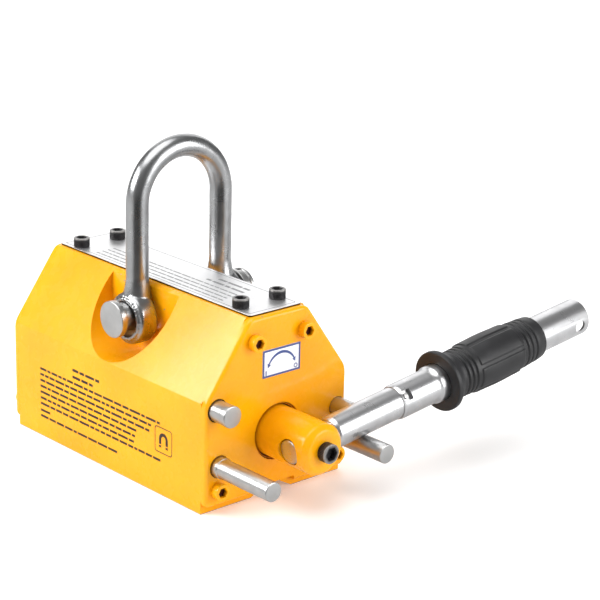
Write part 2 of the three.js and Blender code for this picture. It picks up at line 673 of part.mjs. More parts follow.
// The lifting bow: a round bar bent to a U, with each leg flared into a forged eye.
// It is made about its own middle, with the eyes' centres at the height eyeZ.
function shackle() {
  const { bar, halfSpan, bendZ, eye, flareTop, flareBottom } = SHACKLE;
  const eyeZ = SHACKLE_PIN.z - SHACKLE.drop;
  const bend = new THREE.Curve();
  bend.getPoint = (t, target = new THREE.Vector3()) => target.set(
    -halfSpan * Math.cos(Math.PI * t), 0, bendZ + halfSpan * Math.sin(Math.PI * t),
  );
  const path = new THREE.CurvePath();
  path.add(new THREE.LineCurve3(new THREE.Vector3(-halfSpan, 0, eyeZ),
    new THREE.Vector3(-halfSpan, 0, bendZ)));
  path.add(bend);
  path.add(new THREE.LineCurve3(new THREE.Vector3(halfSpan, 0, bendZ),
    new THREE.Vector3(halfSpan, 0, eyeZ)));
  const bow = toSolid(new THREE.ExtrudeGeometry(roundSection(bar, SIDES.coarse), {
    steps: 32, extrudePath: path,
  }));
  const across = (side, inward, outward) => [
    side * halfSpan - (side > 0 ? inward : outward),
    side * halfSpan + (side > 0 ? outward : inward),
  ];
  const ends = [-1, 1].flatMap((side) => {
    const cone = new THREE.CylinderGeometry(bar - 0.2, SHACKLE.flare, flareTop - flareBottom,
      SIDES.coarse);
    cone.rotateX(Math.PI / 2).translate(side * halfSpan, 0, (flareTop + flareBottom) / 2);
    const slab = box(across(side, bar, bar), [-eye, eye], [eyeZ, bendZ]);
    return [
      barAlongX(eye, [0, eyeZ], across(side, SHACKLE.eyeInward, SHACKLE.eyeOutward)),
      barAlongX(SHACKLE.boss, [0, eyeZ], across(side, SHACKLE.eyeInward, SHACKLE.bossOutward)),
      toSolid(cone).intersect(slab),
    ];
  });
  const forged = ends.reduce((joined, part) => joined.add(part), bow);
  const reach = halfSpan + SHACKLE.bossOutward + 1;
  return cut(forged, barAlongX(SHACKLE.bore, [0, eyeZ], [-reach, reach]));
}

// The pin through the housing, with a head on the left and a plain end for the collar.
function shacklePin() {
  const { shank, head, headLength, left, right } = SHACKLE_PIN;
  const pin = turnedAlongX([
    [0, left], [head - 0.5, left], [head, left + 0.5], [head, left + headLength],
    [shank, left + headLength], [shank, right - 1], [shank - 0.5, right - 0.5],
    [0, right - 0.5],
  ]);
  return cut(pin, rollPinBar(SHACKLE_PIN.rollPin + CLEARANCE));
}

function rollPinBar(radius) {
  const { right, collar, collarLength } = SHACKLE_PIN;
  return barAlongZ(radius, [right - collarLength / 2, 0], [-collar, collar], SIDES.coarse);
}

function shackleCollar() {
  const { shank, collar, collarLength, right } = SHACKLE_PIN;
  const inner = shank + CLEARANCE;
  const from = right - collarLength;
  const blank = turnedAlongX([
    [inner, from], [collar - 0.5, from], [collar, from + 0.5], [collar, right - 0.5],
    [collar - 0.5, right], [inner, right], [inner, from],
  ]);
  return cut(blank, rollPinBar(SHACKLE_PIN.rollPin + CLEARANCE));
}

function addShackle(group) {
  const { y, z } = SHACKLE_PIN;
  group.add(
    moved(piece('shackle', shackle(), forgedSteel), SHACKLE.sidePlay, y, 0),
    moved(piece('shackle_pin', shacklePin(), brightSteel), 0, y, z),
    moved(piece('shackle_pin_collar', shackleCollar(), brightSteel), 0, y, z),
    moved(piece('collar_roll_pin', rollPinBar(SHACKLE_PIN.rollPin), brightSteel), 0, y, z),
  );
}

// -------------------------------------------------------------------------- assembly

function liftingMagnet() {
  const housing = new THREE.Group();
  addHousing(housing);
  addHousingScrews(housing);
  addStopPins(housing);
  addLockPin(housing);
  addBearings(housing);
  addShackle(housing);

  const turning = new THREE.Group();
  turning.position.z = ROTOR.z;
  turning.rotation.y = -HANDLE.tilt;
  addRotor(turning);
  addHandle(turning);

  const lifter = new THREE.Group();
  lifter.add(housing, turning);
  lifter.position.set(-boxMiddleX, -boxMiddleY, 0);
  return lifter;
}

export default liftingMagnet();
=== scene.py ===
"""The looks of a hand-switched lifting magnet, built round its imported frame. Metres, +Z up."""
import json
import math
import random

import bmesh
import bpy
from mathutils import Matrix, Vector, noise


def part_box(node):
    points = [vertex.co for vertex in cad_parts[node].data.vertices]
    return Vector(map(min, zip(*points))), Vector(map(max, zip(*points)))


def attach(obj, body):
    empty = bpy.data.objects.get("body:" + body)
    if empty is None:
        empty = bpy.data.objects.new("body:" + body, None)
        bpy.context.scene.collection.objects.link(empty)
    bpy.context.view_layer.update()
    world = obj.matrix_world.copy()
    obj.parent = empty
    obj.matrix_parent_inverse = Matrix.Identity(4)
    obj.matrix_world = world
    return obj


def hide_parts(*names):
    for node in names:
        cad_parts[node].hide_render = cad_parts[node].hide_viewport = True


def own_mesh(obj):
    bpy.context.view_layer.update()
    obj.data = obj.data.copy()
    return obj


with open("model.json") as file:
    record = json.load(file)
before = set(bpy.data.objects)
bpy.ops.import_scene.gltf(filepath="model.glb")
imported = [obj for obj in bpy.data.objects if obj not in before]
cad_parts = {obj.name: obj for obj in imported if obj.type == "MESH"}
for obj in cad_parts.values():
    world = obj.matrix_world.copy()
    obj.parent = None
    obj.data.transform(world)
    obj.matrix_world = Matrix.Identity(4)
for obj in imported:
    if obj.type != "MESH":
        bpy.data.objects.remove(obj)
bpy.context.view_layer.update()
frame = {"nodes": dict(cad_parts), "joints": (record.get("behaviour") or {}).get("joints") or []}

MM = 0.001

# ---- places from the frame

joints = {joint["name"]: joint for joint in frame["joints"]}
PIVOT = Vector(joints["handle_turn"]["pos_m"])
ALONG = Vector(joints["grip_slide"]["axis"]).normalized()
SHACKLE_PIVOT = Vector(joints["shackle_swing"]["pos_m"])

pole_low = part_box("left_pole")[0]
pole_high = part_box("right_pole")[1]
front_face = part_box("front_end_plate")[0].y
rear_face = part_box("rear_end_plate")[1].y
MIDDLE = Vector(((pole_low.x + pole_high.x) / 2, (front_face + rear_face) / 2, 0))

# The housing's own frame has its origin on the pole faces, in the middle of the housing.
# The handle's frame has its origin on the rotor's axis and +X along the handle.
BODY_FRAME = Matrix.Translation(MIDDLE)
HANDLE_FRAME = Matrix.Translation(PIVOT) @ Matrix.Rotation(-math.atan2(ALONG.z, ALONG.x), 4, "Y")

# Millimetres in the housing's frame. The ink on the sides stands inside the CAD box.
INK_ROOM = 0.04
HALF_WIDTH = (pole_high.x - pole_low.x) / 2 / MM - INK_ROOM
HALF_LENGTH = (rear_face - front_face) / 2 / MM
HEIGHT = pole_high.z / MM
POLE_END = (pole_high.y - pole_low.y) / 2 / MM
PLATE_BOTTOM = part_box("front_end_plate")[0].z / MM
ROTOR_Z = PIVOT.z / MM
SHOULDER_Z = 58
TOP_HALF_WIDTH = 18.5
POLE_GAP = 12
GROOVE_HALF_WIDTH, GROOVE_DEPTH = 13.5, 7.4
RECESS_RADIUS, RECESS_Z, RECESS_WALL = 28.2, 86.4, 19.8
ROTOR_BORE = 24.2
SHACKLE_PIN_RADIUS = 7.5
PIN_RADIUS = 5
LOCK_PIN_X, LOCK_PIN_Z = -38.9, 54
LOCK_PIN_NECK, LOCK_PIN_COLLAR = 5.4, 6.4
HOLE_PLAY = 0.15
FRONT = Vector((0, -1, 0))
REAR = Vector((0, 1, 0))
UP = Vector((0, 0, 1))
RIGHT = Vector((1, 0, 0))


def in_body(x, y, z):
    """A point of the housing's frame, in metres of the row frame."""
    return BODY_FRAME @ Vector((x * MM, y * MM, z * MM))


def reach(node, frame_matrix, direction):
    """Least and greatest distance of a CAD node along a direction of a local frame, in mm."""
    inverse = frame_matrix.inverted()
    spans = [(inverse @ vertex.co).dot(direction) for vertex in frame["nodes"][node].data.vertices]
    return min(spans) / MM, max(spans) / MM


# ---- materials


class Look:
    """A procedural material under construction, with short calls for its nodes."""

    def __init__(self, name, **sockets):
        self.material = bpy.data.materials.new(name)
        self.material.use_nodes = True
        self.tree = self.material.node_tree
        self.shader = self.tree.nodes["Principled BSDF"]
        self.place = self.tree.nodes.new("ShaderNodeTexCoord").outputs["Object"]
        for socket, value in sockets.items():
            title = socket.replace("_", " ").title().replace("Ior", "IOR")
            self.shader.inputs[title].default_value = value

    def add(self, kind, inputs=(), **settings):
        made = self.tree.nodes.new("ShaderNode" + kind)
        for key, value in settings.items():
            setattr(made, key, value)
        for key, value in dict(inputs).items():
            if isinstance(value, bpy.types.NodeSocket):
                self.tree.links.new(value, made.inputs[key])
            else:
                made.inputs[key].default_value = value
        return made

    def noise(self, scale, detail=3, stretch=(1, 1, 1)):
        """Noise with a given number of features per metre, squeezed along each axis."""
        mapping = self.add("Mapping", {"Vector": self.place, "Scale": stretch})
        inputs = {"Vector": mapping.outputs[0], "Scale": scale, "Detail": detail}
        return self.add("TexNoise", inputs).outputs["Fac"]

    def cells(self, scale):
        """The distance to the nearest of many scattered points."""
        return self.add("TexVoronoi", {"Vector": self.place, "Scale": scale}).outputs["Distance"]

    def math(self, operation, first, second=0.0):
        return self.add("Math", {0: first, 1: second}, operation=operation).outputs[0]

    def ranged(self, value, low, high, to_low=0.0, to_high=1.0):
        inputs = {"Value": value, "From Min": low, "From Max": high}
        inputs.update({"To Min": to_low, "To Max": to_high})
        return self.add("MapRange", inputs).outputs["Result"]

    def mix(self, factor, first, second):
        made = self.add("Mix", {"Factor": factor}, data_type="RGBA")
        for slot, value in (("A_Color", first), ("B_Color", second)):
            socket = next(s for s in made.inputs if s.identifier == slot)
            if isinstance(value, bpy.types.NodeSocket):
                self.tree.links.new(value, socket)
            else:
                socket.default_value = (*value, 1)
        return next(s for s in made.outputs if s.identifier == "Result_Color")

    def position(self):
        """The three local coordinates, in metres."""
        split = self.add("SeparateXYZ", {"Vector": self.place})
        return split.outputs["X"], split.outputs["Y"], split.outputs["Z"]

    def attribute(self, name):
        return self.add("Attribute", attribute_name=name).outputs["Fac"]

    def link(self, socket, value):
        self.tree.links.new(value, self.shader.inputs[socket])

    def bump(self, *layers):
        """Stacks (height, depth in mm) layers of relief on the surface normal."""
        normal = None
        for height, depth in layers:
            inputs = {"Height": height, "Distance": depth * MM, "Strength": 1.0}
            if normal is not None:
                inputs["Normal"] = normal
            normal = self.add("Bump", inputs).outputs["Normal"]
        self.link("Normal", normal)


YELLOW = (0.95, 0.42, 0.0015)
YELLOW_THIN = (0.96, 0.48, 0.006)
YELLOW_DEEP = (0.92, 0.365, 0.001)
BARE_STEEL = (0.50, 0.50, 0.49)
# Painted shade: dark maroon for the inside of screw sockets.
SOCKET_PAINTED_SHADE = (0.055, 0.006, 0.002)


def paint(name, bare_below=None):
    """Glossy enamel with faint orange peel, thinner on the edges, chipped here and there.
    Below the height bare_below (mm) the steel is ground bare."""
    look = Look(name, specular_ior_level=0.2, coat_weight=0.35, coat_roughness=0.1, coat_ior=1.5)
    clouds = look.noise(22, detail=4)
    tone = look.mix(look.ranged(clouds, 0.35, 0.65), YELLOW, YELLOW_DEEP)
    edge = look.attribute("edge")
    tone = look.mix(look.math("MULTIPLY", edge, 0.3), tone, YELLOW_THIN)
    # Painted shade: inside screw sockets, where the attribute "pit" is 1, the paint turns dark
    # maroon.
    tone = look.mix(look.attribute("pit"), tone, SOCKET_PAINTED_SHADE)
    chip_noise = look.noise(420, detail=5)
    chips = look.math("MULTIPLY", edge, look.ranged(chip_noise, 0.675, 0.70))
    tone = look.mix(chips, tone, BARE_STEEL)
    bare = chips
    if bare_below is not None:
        bottom = look.ranged(look.position()[2], bare_below * MM, (bare_below + 0.1) * MM, 1, 0)
        grinding = look.noise(900, detail=4, stretch=(3, 0.05, 1))
        ground = look.mix(grinding, (0.42, 0.42, 0.41), (0.66, 0.66, 0.65))
        tone = look.mix(bottom, tone, ground)
        bare = look.math("MAXIMUM", chips, bottom)
    look.link("Base Color", tone)
    look.link("Metallic", bare)
    dust = look.noise(160, detail=5)
    look.link("Roughness", look.ranged(dust, 0.3, 0.75, 0.22, 0.34))
    peel = look.noise(330, detail=1)
    grain = look.noise(1500, detail=2)
    look.bump((peel, 0.02), (grain, 0.004), (chips, -0.05))
    return look.material


def turned_steel(name, colour=(0.58, 0.58, 0.575), roughness=0.26, marks=0.006):
    """Lathe-turned, plated steel. The piece's local +X is the axis it was turned about."""
    look = Look(name, metallic=1.0)
    x, y, z = look.position()
    radial = look.math("SQRT", look.math("ADD", look.math("MULTIPLY", y, y),
                                         look.math("MULTIPLY", z, z)))
    path = look.add("CombineXYZ", {"X": x, "Y": radial})
    lines = look.add("TexNoise", {"Vector": path.outputs[0], "Scale": 3200, "Detail": 3})
    lines = lines.outputs["Fac"]
    stains = look.noise(140, detail=5)
    worn = tuple(0.84 * c for c in colour)
    look.link("Base Color", look.mix(look.ranged(stains, 0.3, 0.7), colour, worn))
    spread = look.math("ADD", look.ranged(lines, 0.2, 0.8, 0, 0.06),
                       look.ranged(stains, 0.3, 0.7, 0, 0.06))
    look.link("Roughness", look.math("ADD", spread, roughness))
    look.bump((lines, marks), (look.noise(260), 0.008))
    return look.material


def forged_steel(name):
    """Forged, tumbled and plated: smooth to the hand, softly uneven, with small pits."""
    look = Look(name, metallic=1.0)
    patches = look.noise(90, detail=5)
    tint = look.mix(look.ranged(patches, 0.3, 0.7), (0.44, 0.445, 0.45), (0.34, 0.345, 0.35))
    pits = look.ranged(look.cells(420), 0.05, 0.16, 1, 0)
    pit_patches = look.ranged(look.noise(120, detail=2), 0.60, 0.68)
    pitted = look.math("MULTIPLY", pits, pit_patches)
    look.link("Base Color", look.mix(pitted, tint, (0.16, 0.16, 0.16)))
    look.link("Roughness", look.ranged(patches, 0.3, 0.7, 0.24, 0.34))
    look.bump((look.noise(110, detail=2), 0.05), (look.noise(900, detail=4), 0.01),
              (pitted, -0.04))
    return look.material


def brushed_aluminium(name, top):
    """Sheet aluminium brushed along its length, which is local Y. Its sides and underside, below
    its top face, whose local height is given in metres, are painted dark brown as shade."""
    look = Look(name, metallic=1.0)
    hairs = look.noise(2600, stretch=(1, 0.012, 1))
    smudges = look.noise(45, detail=4)
    bright = look.mix(hairs, (0.76, 0.76, 0.765), (0.90, 0.90, 0.905))
    # Painted shade: dark brown on the nameplate's sides and underside, below its top face.
    under = look.ranged(look.position()[2], top - 0.35 * MM, top - 0.2 * MM, 1, 0)
    look.link("Base Color", look.mix(under, bright, (0.035, 0.012, 0.004)))
    look.link("Roughness", look.math("ADD", look.ranged(smudges, 0.3, 0.7, 0.36, 0.46),
                                     look.ranged(hairs, 0.3, 0.7, 0, 0.06)))
    look.bump((hairs, 0.005))
    return look.material


def black_oxide(name):
    """Blacked steel, lighter grey on its edges and the head's top: partly rubbed bare, partly a
    painted highlight.
    """
    look = Look(name, metallic=0.55)
    blotches = look.noise(500, detail=4)
    black = look.mix(blotches, (0.018, 0.017, 0.018), (0.05, 0.048, 0.05))
    # Partly wear, partly painted highlight: where "edge" is 1 the black turns lighter grey.
    worn = look.math("MULTIPLY", look.attribute("edge"), look.ranged(blotches, 0.3, 0.55, 0.5, 1))
    look.link("Base Color", look.mix(worn, black, (0.30, 0.29, 0.28)))
    look.link("Roughness", look.ranged(blotches, 0.3, 0.7, 0.26, 0.42))
    look.bump((look.noise(2400, detail=2), 0.01))
    return look.material


RUBBER_GRAINS_PER_METRE = 1700


def rubber(name, colour=(0.013, 0.013, 0.014), roughness=0.42, grain=0.012):
    """Moulded rubber with a fine grain, whose depth is in mm, and a faint bloom."""
    look = Look(name, specular_ior_level=0.4)
    bloom = look.noise(70, detail=4)
    paler = tuple(1.8 * c for c in colour)
    look.link("Base Color", look.mix(look.ranged(bloom, 0.35, 0.75), colour, paler))
    look.link("Roughness", look.ranged(bloom, 0.3, 0.7, roughness - 0.05, roughness + 0.1))
    look.bump((look.noise(RUBBER_GRAINS_PER_METRE), grain),
              (look.cells(0.7 * RUBBER_GRAINS_PER_METRE), 0.6 * grain))
    return look.material


def oversprayed(name, depth):
    """Rubber in the gap round the hub, coloured dark maroon as painted shade of the narrow gap,
    with paint on whatever is nearer the front plate's face, along local X, than the depth in mm."""
    look = Look(name, specular_ior_level=0.2)
    blotches = look.noise(700, detail=4)
    # Painted shade: the rubber is coloured the dark maroon of shade in the narrow gap.
    gap_shade = look.mix(blotches, (0.05, 0.008, 0.002), (0.12, 0.02, 0.004))
    sprayed = look.mix(blotches, (0.62, 0.20, 0.003), (0.85, 0.33, 0.003))
    near = look.ranged(look.position()[0], -(depth + 0.15) * MM, -depth * MM)
    look.link("Base Color", look.mix(near, gap_shade, sprayed))
    look.link("Roughness", look.ranged(blotches, 0.3, 0.7, 0.45, 0.6))
    look.bump((blotches, 0.02))
    return look.material


def plastic_film(name, colour):
    """Glossy film, slightly wavy where it is stuck down."""
    look = Look(name, coat_weight=0.2, coat_roughness=0.15)
    waves = look.noise(180)
    paler = tuple(min(1.0, 1.06 * c) for c in colour)
    look.link("Base Color", look.mix(waves, colour, paler))
    look.link("Roughness", look.ranged(waves, 0.3, 0.7, 0.35, 0.5))
    look.bump((waves, 0.006))
    return look.material


def ink(name, colour):
    """Screen-printed ink, a little worn through."""
    look = Look(name)
    worn = look.noise(1400, detail=4)
    paler = tuple(min(1.0, c + 0.03) for c in colour)
    look.link("Base Color", look.mix(look.ranged(worn, 0.5, 0.72), colour, paler))
    look.link("Roughness", look.ranged(worn, 0.3, 0.7, 0.42, 0.6))
    look.bump((worn, 0.004))
    return look.material


def inner_metal(name, colour, roughness=0.35, stretch=(1, 1, 1)):
    """Machined metal of the pieces inside the housing."""
    look = Look(name, metallic=1.0)
    cuts = look.noise(1200, stretch=stretch)
    stains = look.noise(60, detail=4)
    look.link("Base Color", look.mix(stains, colour, tuple(0.8 * c for c in colour)))
    look.link("Roughness", look.ranged(cuts, 0.3, 0.7, roughness - 0.06, roughness + 0.1))
    look.bump((cuts, 0.015))
    return look.material


HOUSING_PAINT = paint("yellow_enamel", bare_below=0.25)
PLATE_PAINT = paint("yellow_enamel_plate")
PIN_STEEL = turned_steel("turned_pin_steel")
ROD_STEEL = turned_steel("satin_chrome", colour=(0.70, 0.70, 0.71), roughness=0.24, marks=0.003)
FORGED = forged_steel("forged_plated_steel")
PLATE_ALUMINIUM = brushed_aluminium("brushed_aluminium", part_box("nameplate")[1].z)
BLACK_SCREW = black_oxide("black_oxide")
GRIP_RUBBER = rubber("grip_rubber")
SEAL_RUBBER = rubber("seal_rubber", colour=(0.012, 0.012, 0.012), roughness=0.6)
# Its rubber carries painted shade of the gap round the hub.
HUB_SEAL = oversprayed("hub_seal_rubber", 1.3)
PLUG_PLASTIC = rubber("plug_plastic", colour=(0.02, 0.02, 0.021), roughness=0.45, grain=0.01)
SPRING_WIRE = inner_metal("spring_wire", (0.32, 0.32, 0.33), 0.25)
LABEL_FILM = plastic_film("label_film", (0.86, 0.88, 0.93))
LABEL_INK = ink("label_ink", (0.04, 0.075, 0.26))
SIDE_INK = ink("side_ink", (0.02, 0.006, 0.002))
PLATE_INK = ink("plate_etching", (0.22, 0.22, 0.225))

# ---- mesh building


def link_object(name, mesh, matrix, material):
    obj = bpy.data.objects.new(name, mesh)
    bpy.context.scene.collection.objects.link(obj)
    obj.matrix_world = matrix
    mesh.materials.append(material)
    return obj


def finish_mesh(obj, crease=32):
    """Smooth shading, broken at edges sharper than the crease angle in degrees."""
    obj.data.shade_smooth()
    obj.data.set_sharp_from_angle(angle=math.radians(crease))
    return obj


def from_bmesh(name, bm, matrix, material):
    bmesh.ops.recalc_face_normals(bm, faces=bm.faces)
    mesh = bpy.data.meshes.new(name)
    bm.to_mesh(mesh)
    bm.free()
    return finish_mesh(link_object(name, mesh, matrix, material))


def soften(points, radius, closed=False, steps=4):
    """Rounds the corners of an outline of 2D points."""
    points = [Vector(point) for point in points]
    count = len(points)
    inner = range(count) if closed else range(1, count - 1)
    rounded = [] if closed else [points[0]]
    for i in inner:
        corner = points[i]
        back = points[i - 1] - corner
        ahead = points[(i + 1) % count] - corner
        cut = min(radius, back.length * 0.45, ahead.length * 0.45)
        start = corner + back.normalized() * cut
        end = corner + ahead.normalized() * cut
        for step in range(steps + 1):
            t = step / steps
            rounded.append(start * (1 - t) ** 2 + corner * 2 * t * (1 - t) + end * t * t)
    if not closed:
        rounded.append(points[-1])
    return rounded


def rectangle(half_x, half_y, corner):
    outline = [(-half_x, -half_y), (half_x, -half_y), (half_x, half_y), (-half_x, half_y)]
    return soften(outline, corner, closed=True)


def smooth_step(value, low, high):
    t = min(max((value - low) / (high - low), 0), 1)
    return t * t * (3 - 2 * t)


def bridge(bm, near, far):
    """Faces between two rings of vertices, either of which may be a single point."""
    count = max(len(near), len(far))
    for i in range(count):
        j = (i + 1) % count
        corners = [near[i % len(near)], near[j % len(near)], far[j % len(far)], far[i % len(far)]]
        unique = list(dict.fromkeys(corners))
        if len(unique) >= 3:
            bm.faces.new(unique)


def skin(bm, rings, closed=False, capped=False):
    """Faces along a row of rings, which may close on itself or end in two flat caps."""
    following = rings[1:] + rings[:1] if closed else rings[1:]
    for near, far in zip(rings, following):
        bridge(bm, near, far)
    if capped:
        bm.faces.new(rings[0])
        bm.faces.new(rings[-1])


def around(sides):
    """Evenly spaced angles of a full turn."""
    return [2 * math.pi * i / sides for i in range(sides)]


def ring_points(along, radius, sides):
    return [(along * MM, radius * MM * math.cos(a), radius * MM * math.sin(a))
            for a in around(sides)]


def lathe_mesh(profile, sides=96, closed=False):
    """A bmesh turned about local X from (radius, along) points in millimetres."""
    bm = bmesh.new()
    rings = []
    for radius, along in profile:
        if radius < 1e-6:
            rings.append([bm.verts.new((along * MM, 0, 0))])
        else:
            rings.append([bm.verts.new(point) for point in ring_points(along, radius, sides)])
    skin(bm, rings, closed)
    return bm


def lathe(name, profile, matrix, material, sides=96, closed=False, soft=0.4):
    outline = soften(profile, soft, closed) if soft else profile
    return from_bmesh(name, lathe_mesh(outline, sides, closed), matrix, material)


def facing(origin, direction):
    """A frame at origin (row frame, metres) whose +X points along the direction."""
    return Matrix.Translation(origin) @ direction.to_track_quat("X", "Z").to_matrix().to_4x4()


def axes_frame(origin, x_way, y_way, z_way):
    """A frame at origin (row frame, metres) whose axes point the three given ways."""
    matrix = Matrix((x_way, y_way, z_way)).transposed().to_4x4()
    matrix.translation = origin
    return matrix


def prism(name, outline, span, matrix, material):
    """An outline of (x, z) points in millimetres, extruded along local Y over the span."""
    bm = bmesh.new()
    rings = [[bm.verts.new((x * MM, y * MM, z * MM)) for x, z in outline] for y in span]
    skin(bm, rings, capped=True)
    return from_bmesh(name, bm, matrix, material)


def inset(outline, amount):
    """The outline moved inward by an amount, corner by corner. It runs anticlockwise."""
    moved = []
    for i, corner in enumerate(outline):
        before = (corner - outline[i - 1]).normalized()
        after = (outline[(i + 1) % len(outline)] - corner).normalized()
        inward = (Vector((-before.y, before.x)) + Vector((-after.y, after.x))).normalized()
        spread = max(inward.dot(Vector((-before.y, before.x))), 0.5)
        moved.append(corner + inward * amount / spread)
    return moved


EDGE_STEPS = 8


def rounded_prism(name, outline, sharp_y, round_y, radius, matrix, material):
    """A prism along local Y whose edge is rounded at the end round_y."""
    toward = math.copysign(1, round_y - sharp_y)
    bm = bmesh.new()
    crown = bm.verts.layers.float.new("edge")
    levels = [(sharp_y, 0, 0)]
    for step in range(EDGE_STEPS + 1):
        turn = math.pi / 2 * step / EDGE_STEPS
        y = round_y - toward * radius * (1 - math.sin(turn))
        levels.append((y, radius * (1 - math.cos(turn)), math.sin(2 * turn) ** 4))
    rings = []
    for y, amount, worn in levels:
        ring = [bm.verts.new((p.x * MM, y * MM, p.y * MM)) for p in inset(outline, amount)]
        for vertex in ring:
            vertex[crown] = worn
        rings.append(ring)
    skin(bm, rings, capped=True)
    return from_bmesh(name, bm, matrix, material)


def bar_cutter(radius, origin, direction, length, sides=96):
    """A plain cylinder for carving, from origin (metres) along direction, sizes in mm."""
    bm = lathe_mesh([(0, 0), (radius, 0), (radius, length), (0, length)], sides)
    return from_bmesh("cutter", bm, facing(origin, direction), HOUSING_PAINT)


def bake(obj):
    """Applies the object's modifiers to its mesh."""
    bpy.context.view_layer.update()
    depsgraph = bpy.context.evaluated_depsgraph_get()
    mesh = bpy.data.meshes.new_from_object(obj.evaluated_get(depsgraph))
    mesh.name = obj.data.name
    obj.modifiers.clear()
    obj.data = mesh
    return obj


def carve(obj, cutters):
    """Cuts the cutters out of the piece and removes them."""
    for cutter in cutters:
        modifier = obj.modifiers.new("carve", "BOOLEAN")
        modifier.operation = "DIFFERENCE"
        modifier.solver = "EXACT"
        modifier.object = cutter
    bake(obj)
    for cutter in cutters:
        bpy.data.objects.remove(cutter)
    while len(obj.data.materials) > 1:
        obj.data.materials.pop()
    return finish_mesh(obj)


def bevel(obj, width, segments=3, angle=30, limit="ANGLE"):
    """Rounds the edges sharper than the angle in degrees, or the weighted ones."""
    modifier = obj.modifiers.new("edges", "BEVEL")
    modifier.width = width * MM
    modifier.segments = segments
    modifier.limit_method = limit
    modifier.angle_limit = math.radians(angle)
    modifier.miter_outer = "MITER_ARC"
    modifier.harden_normals = True
    bake(obj)
    mark_edges(obj, width)
    return obj


def weigh_edges(obj, half_length):
    """Weights the sharp edges for bevelling, but not those round the two ends along Y,
    which an end plate covers."""
    bm = bmesh.new()
    bm.from_mesh(obj.data)
    weight = bm.edges.layers.float.new("bevel_weight_edge")
    for edge in bm.edges:
        at_end = all(abs(abs(v.co.y) / MM - half_length) < 0.01 for v in edge.verts)
        sharp = edge.calc_face_angle(0) > math.radians(30)
        edge[weight] = 1.0 if sharp and not at_end else 0.0
    bm.to_mesh(obj.data)
    bm.free()


def mark_edges(obj, width):
    """Raises the attribute "edge" to 1 on the crown of each rounded edge, for paint wear."""
    bm = bmesh.new()
    bm.from_mesh(obj.data)
    crown = bm.verts.layers.float.get("edge") or bm.verts.layers.float.new("edge")
    thin = 0.45 * width * MM
    narrow = set()
    for face in bm.faces:
        longest = max(side.calc_length() for side in face.edges)
        if face.calc_area() < thin * max(longest, 1e-9):
            narrow.add(face)
    for vertex in bm.verts:
        if vertex.link_faces and narrow.issuperset(vertex.link_faces):
            vertex[crown] = 1.0
    bm.to_mesh(obj.data)
    bm.free()


def stand_in(obj, body, slot, *nodes):
    """The piece rides on a body and is shown in place of CAD nodes; its slot is not used."""
    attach(obj, body)
    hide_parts(*nodes)
    return obj


# ---- housing


def pole(side, node):
    """One painted pole of the housing, with its half of the groove and its shackle recess."""
    inner = POLE_GAP / 2
    flank = GROOVE_DEPTH * (1 - inner / GROOVE_HALF_WIDTH)
    outline = [
        (GROOVE_HALF_WIDTH, 0), (HALF_WIDTH, 0), (HALF_WIDTH, SHOULDER_Z),
        (TOP_HALF_WIDTH, HEIGHT), (inner, HEIGHT), (inner, flank),
    ]
    shape = prism(node + "_painted", [(side * x, z) for x, z in outline], (-POLE_END, POLE_END),
                  BODY_FRAME, HOUSING_PAINT)
    outward = side * RIGHT
    clear = 2 * HALF_WIDTH
    cutters = [
        bar_cutter(ROTOR_BORE, in_body(0, -POLE_END - 1, ROTOR_Z), REAR, 2 * POLE_END + 2, 128),
        bar_cutter(RECESS_RADIUS, in_body(side * RECESS_WALL, 0, RECESS_Z), outward, clear, 192),
        bar_cutter(SHACKLE_PIN_RADIUS + HOLE_PLAY, SHACKLE_PIVOT, outward, clear),
    ]
    if side < 0:
        mouth = in_body(LOCK_PIN_X, -POLE_END - 1, LOCK_PIN_Z)
        for radius, depth in ((LOCK_PIN_COLLAR, 13), (LOCK_PIN_NECK, 22)):
            cutters.append(bar_cutter(radius + HOLE_PLAY, mouth, REAR, depth + 1))
    carve(shape, cutters)
    weigh_edges(shape, POLE_END)
    bevel(shape, 1.6, 5, limit="WEIGHT")
    return stand_in(shape, "housing", "yellow_paint", node)


EDGE_RADIUS, CORNER_RADIUS = 2.0, 3.4
NOTCH_HALF_WIDTH, NOTCH_HEIGHT = 12.5, 3
HUB_HOLE_RADIUS, PIN_HOLE_RADIUS, LOCK_PIN_HOLE_RADIUS = 14.95, 5.2, 5.6
STOP_RECESS_RADIUS, RING_RECESS_RADIUS, FACE_RECESS_DEPTH = 5.9, 6.0, 1.7


def end_plate(name, end):
    """A painted end plate at the -Y or +Y end, its outer edge well rounded, with the notch
    over the groove in the pole faces."""
    x = HALF_WIDTH
    corners = [(-x, PLATE_BOTTOM), (x, PLATE_BOTTOM), (x, SHOULDER_Z), (TOP_HALF_WIDTH, HEIGHT),
               (-TOP_HALF_WIDTH, HEIGHT), (-x, SHOULDER_Z)]
    shape = rounded_prism(name, soften(corners, CORNER_RADIUS, closed=True), end * POLE_END,
                          end * HALF_LENGTH, EDGE_RADIUS, BODY_FRAME, PLATE_PAINT)
    foot = NOTCH_HALF_WIDTH
    notch = [(-foot, PLATE_BOTTOM - 1), (foot, PLATE_BOTTOM - 1), (foot, PLATE_BOTTOM),
             (foot - 1, PLATE_BOTTOM + NOTCH_HEIGHT), (1 - foot, PLATE_BOTTOM + NOTCH_HEIGHT),
             (-foot, PLATE_BOTTOM)]
    ends = sorted((end * (POLE_END - 1), end * (HALF_LENGTH + 1)))
    return carve(shape, [prism("notch", notch, ends, BODY_FRAME, PLATE_PAINT)])


def centre_of(node):
    low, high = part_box(node)
    return (low + high) / 2


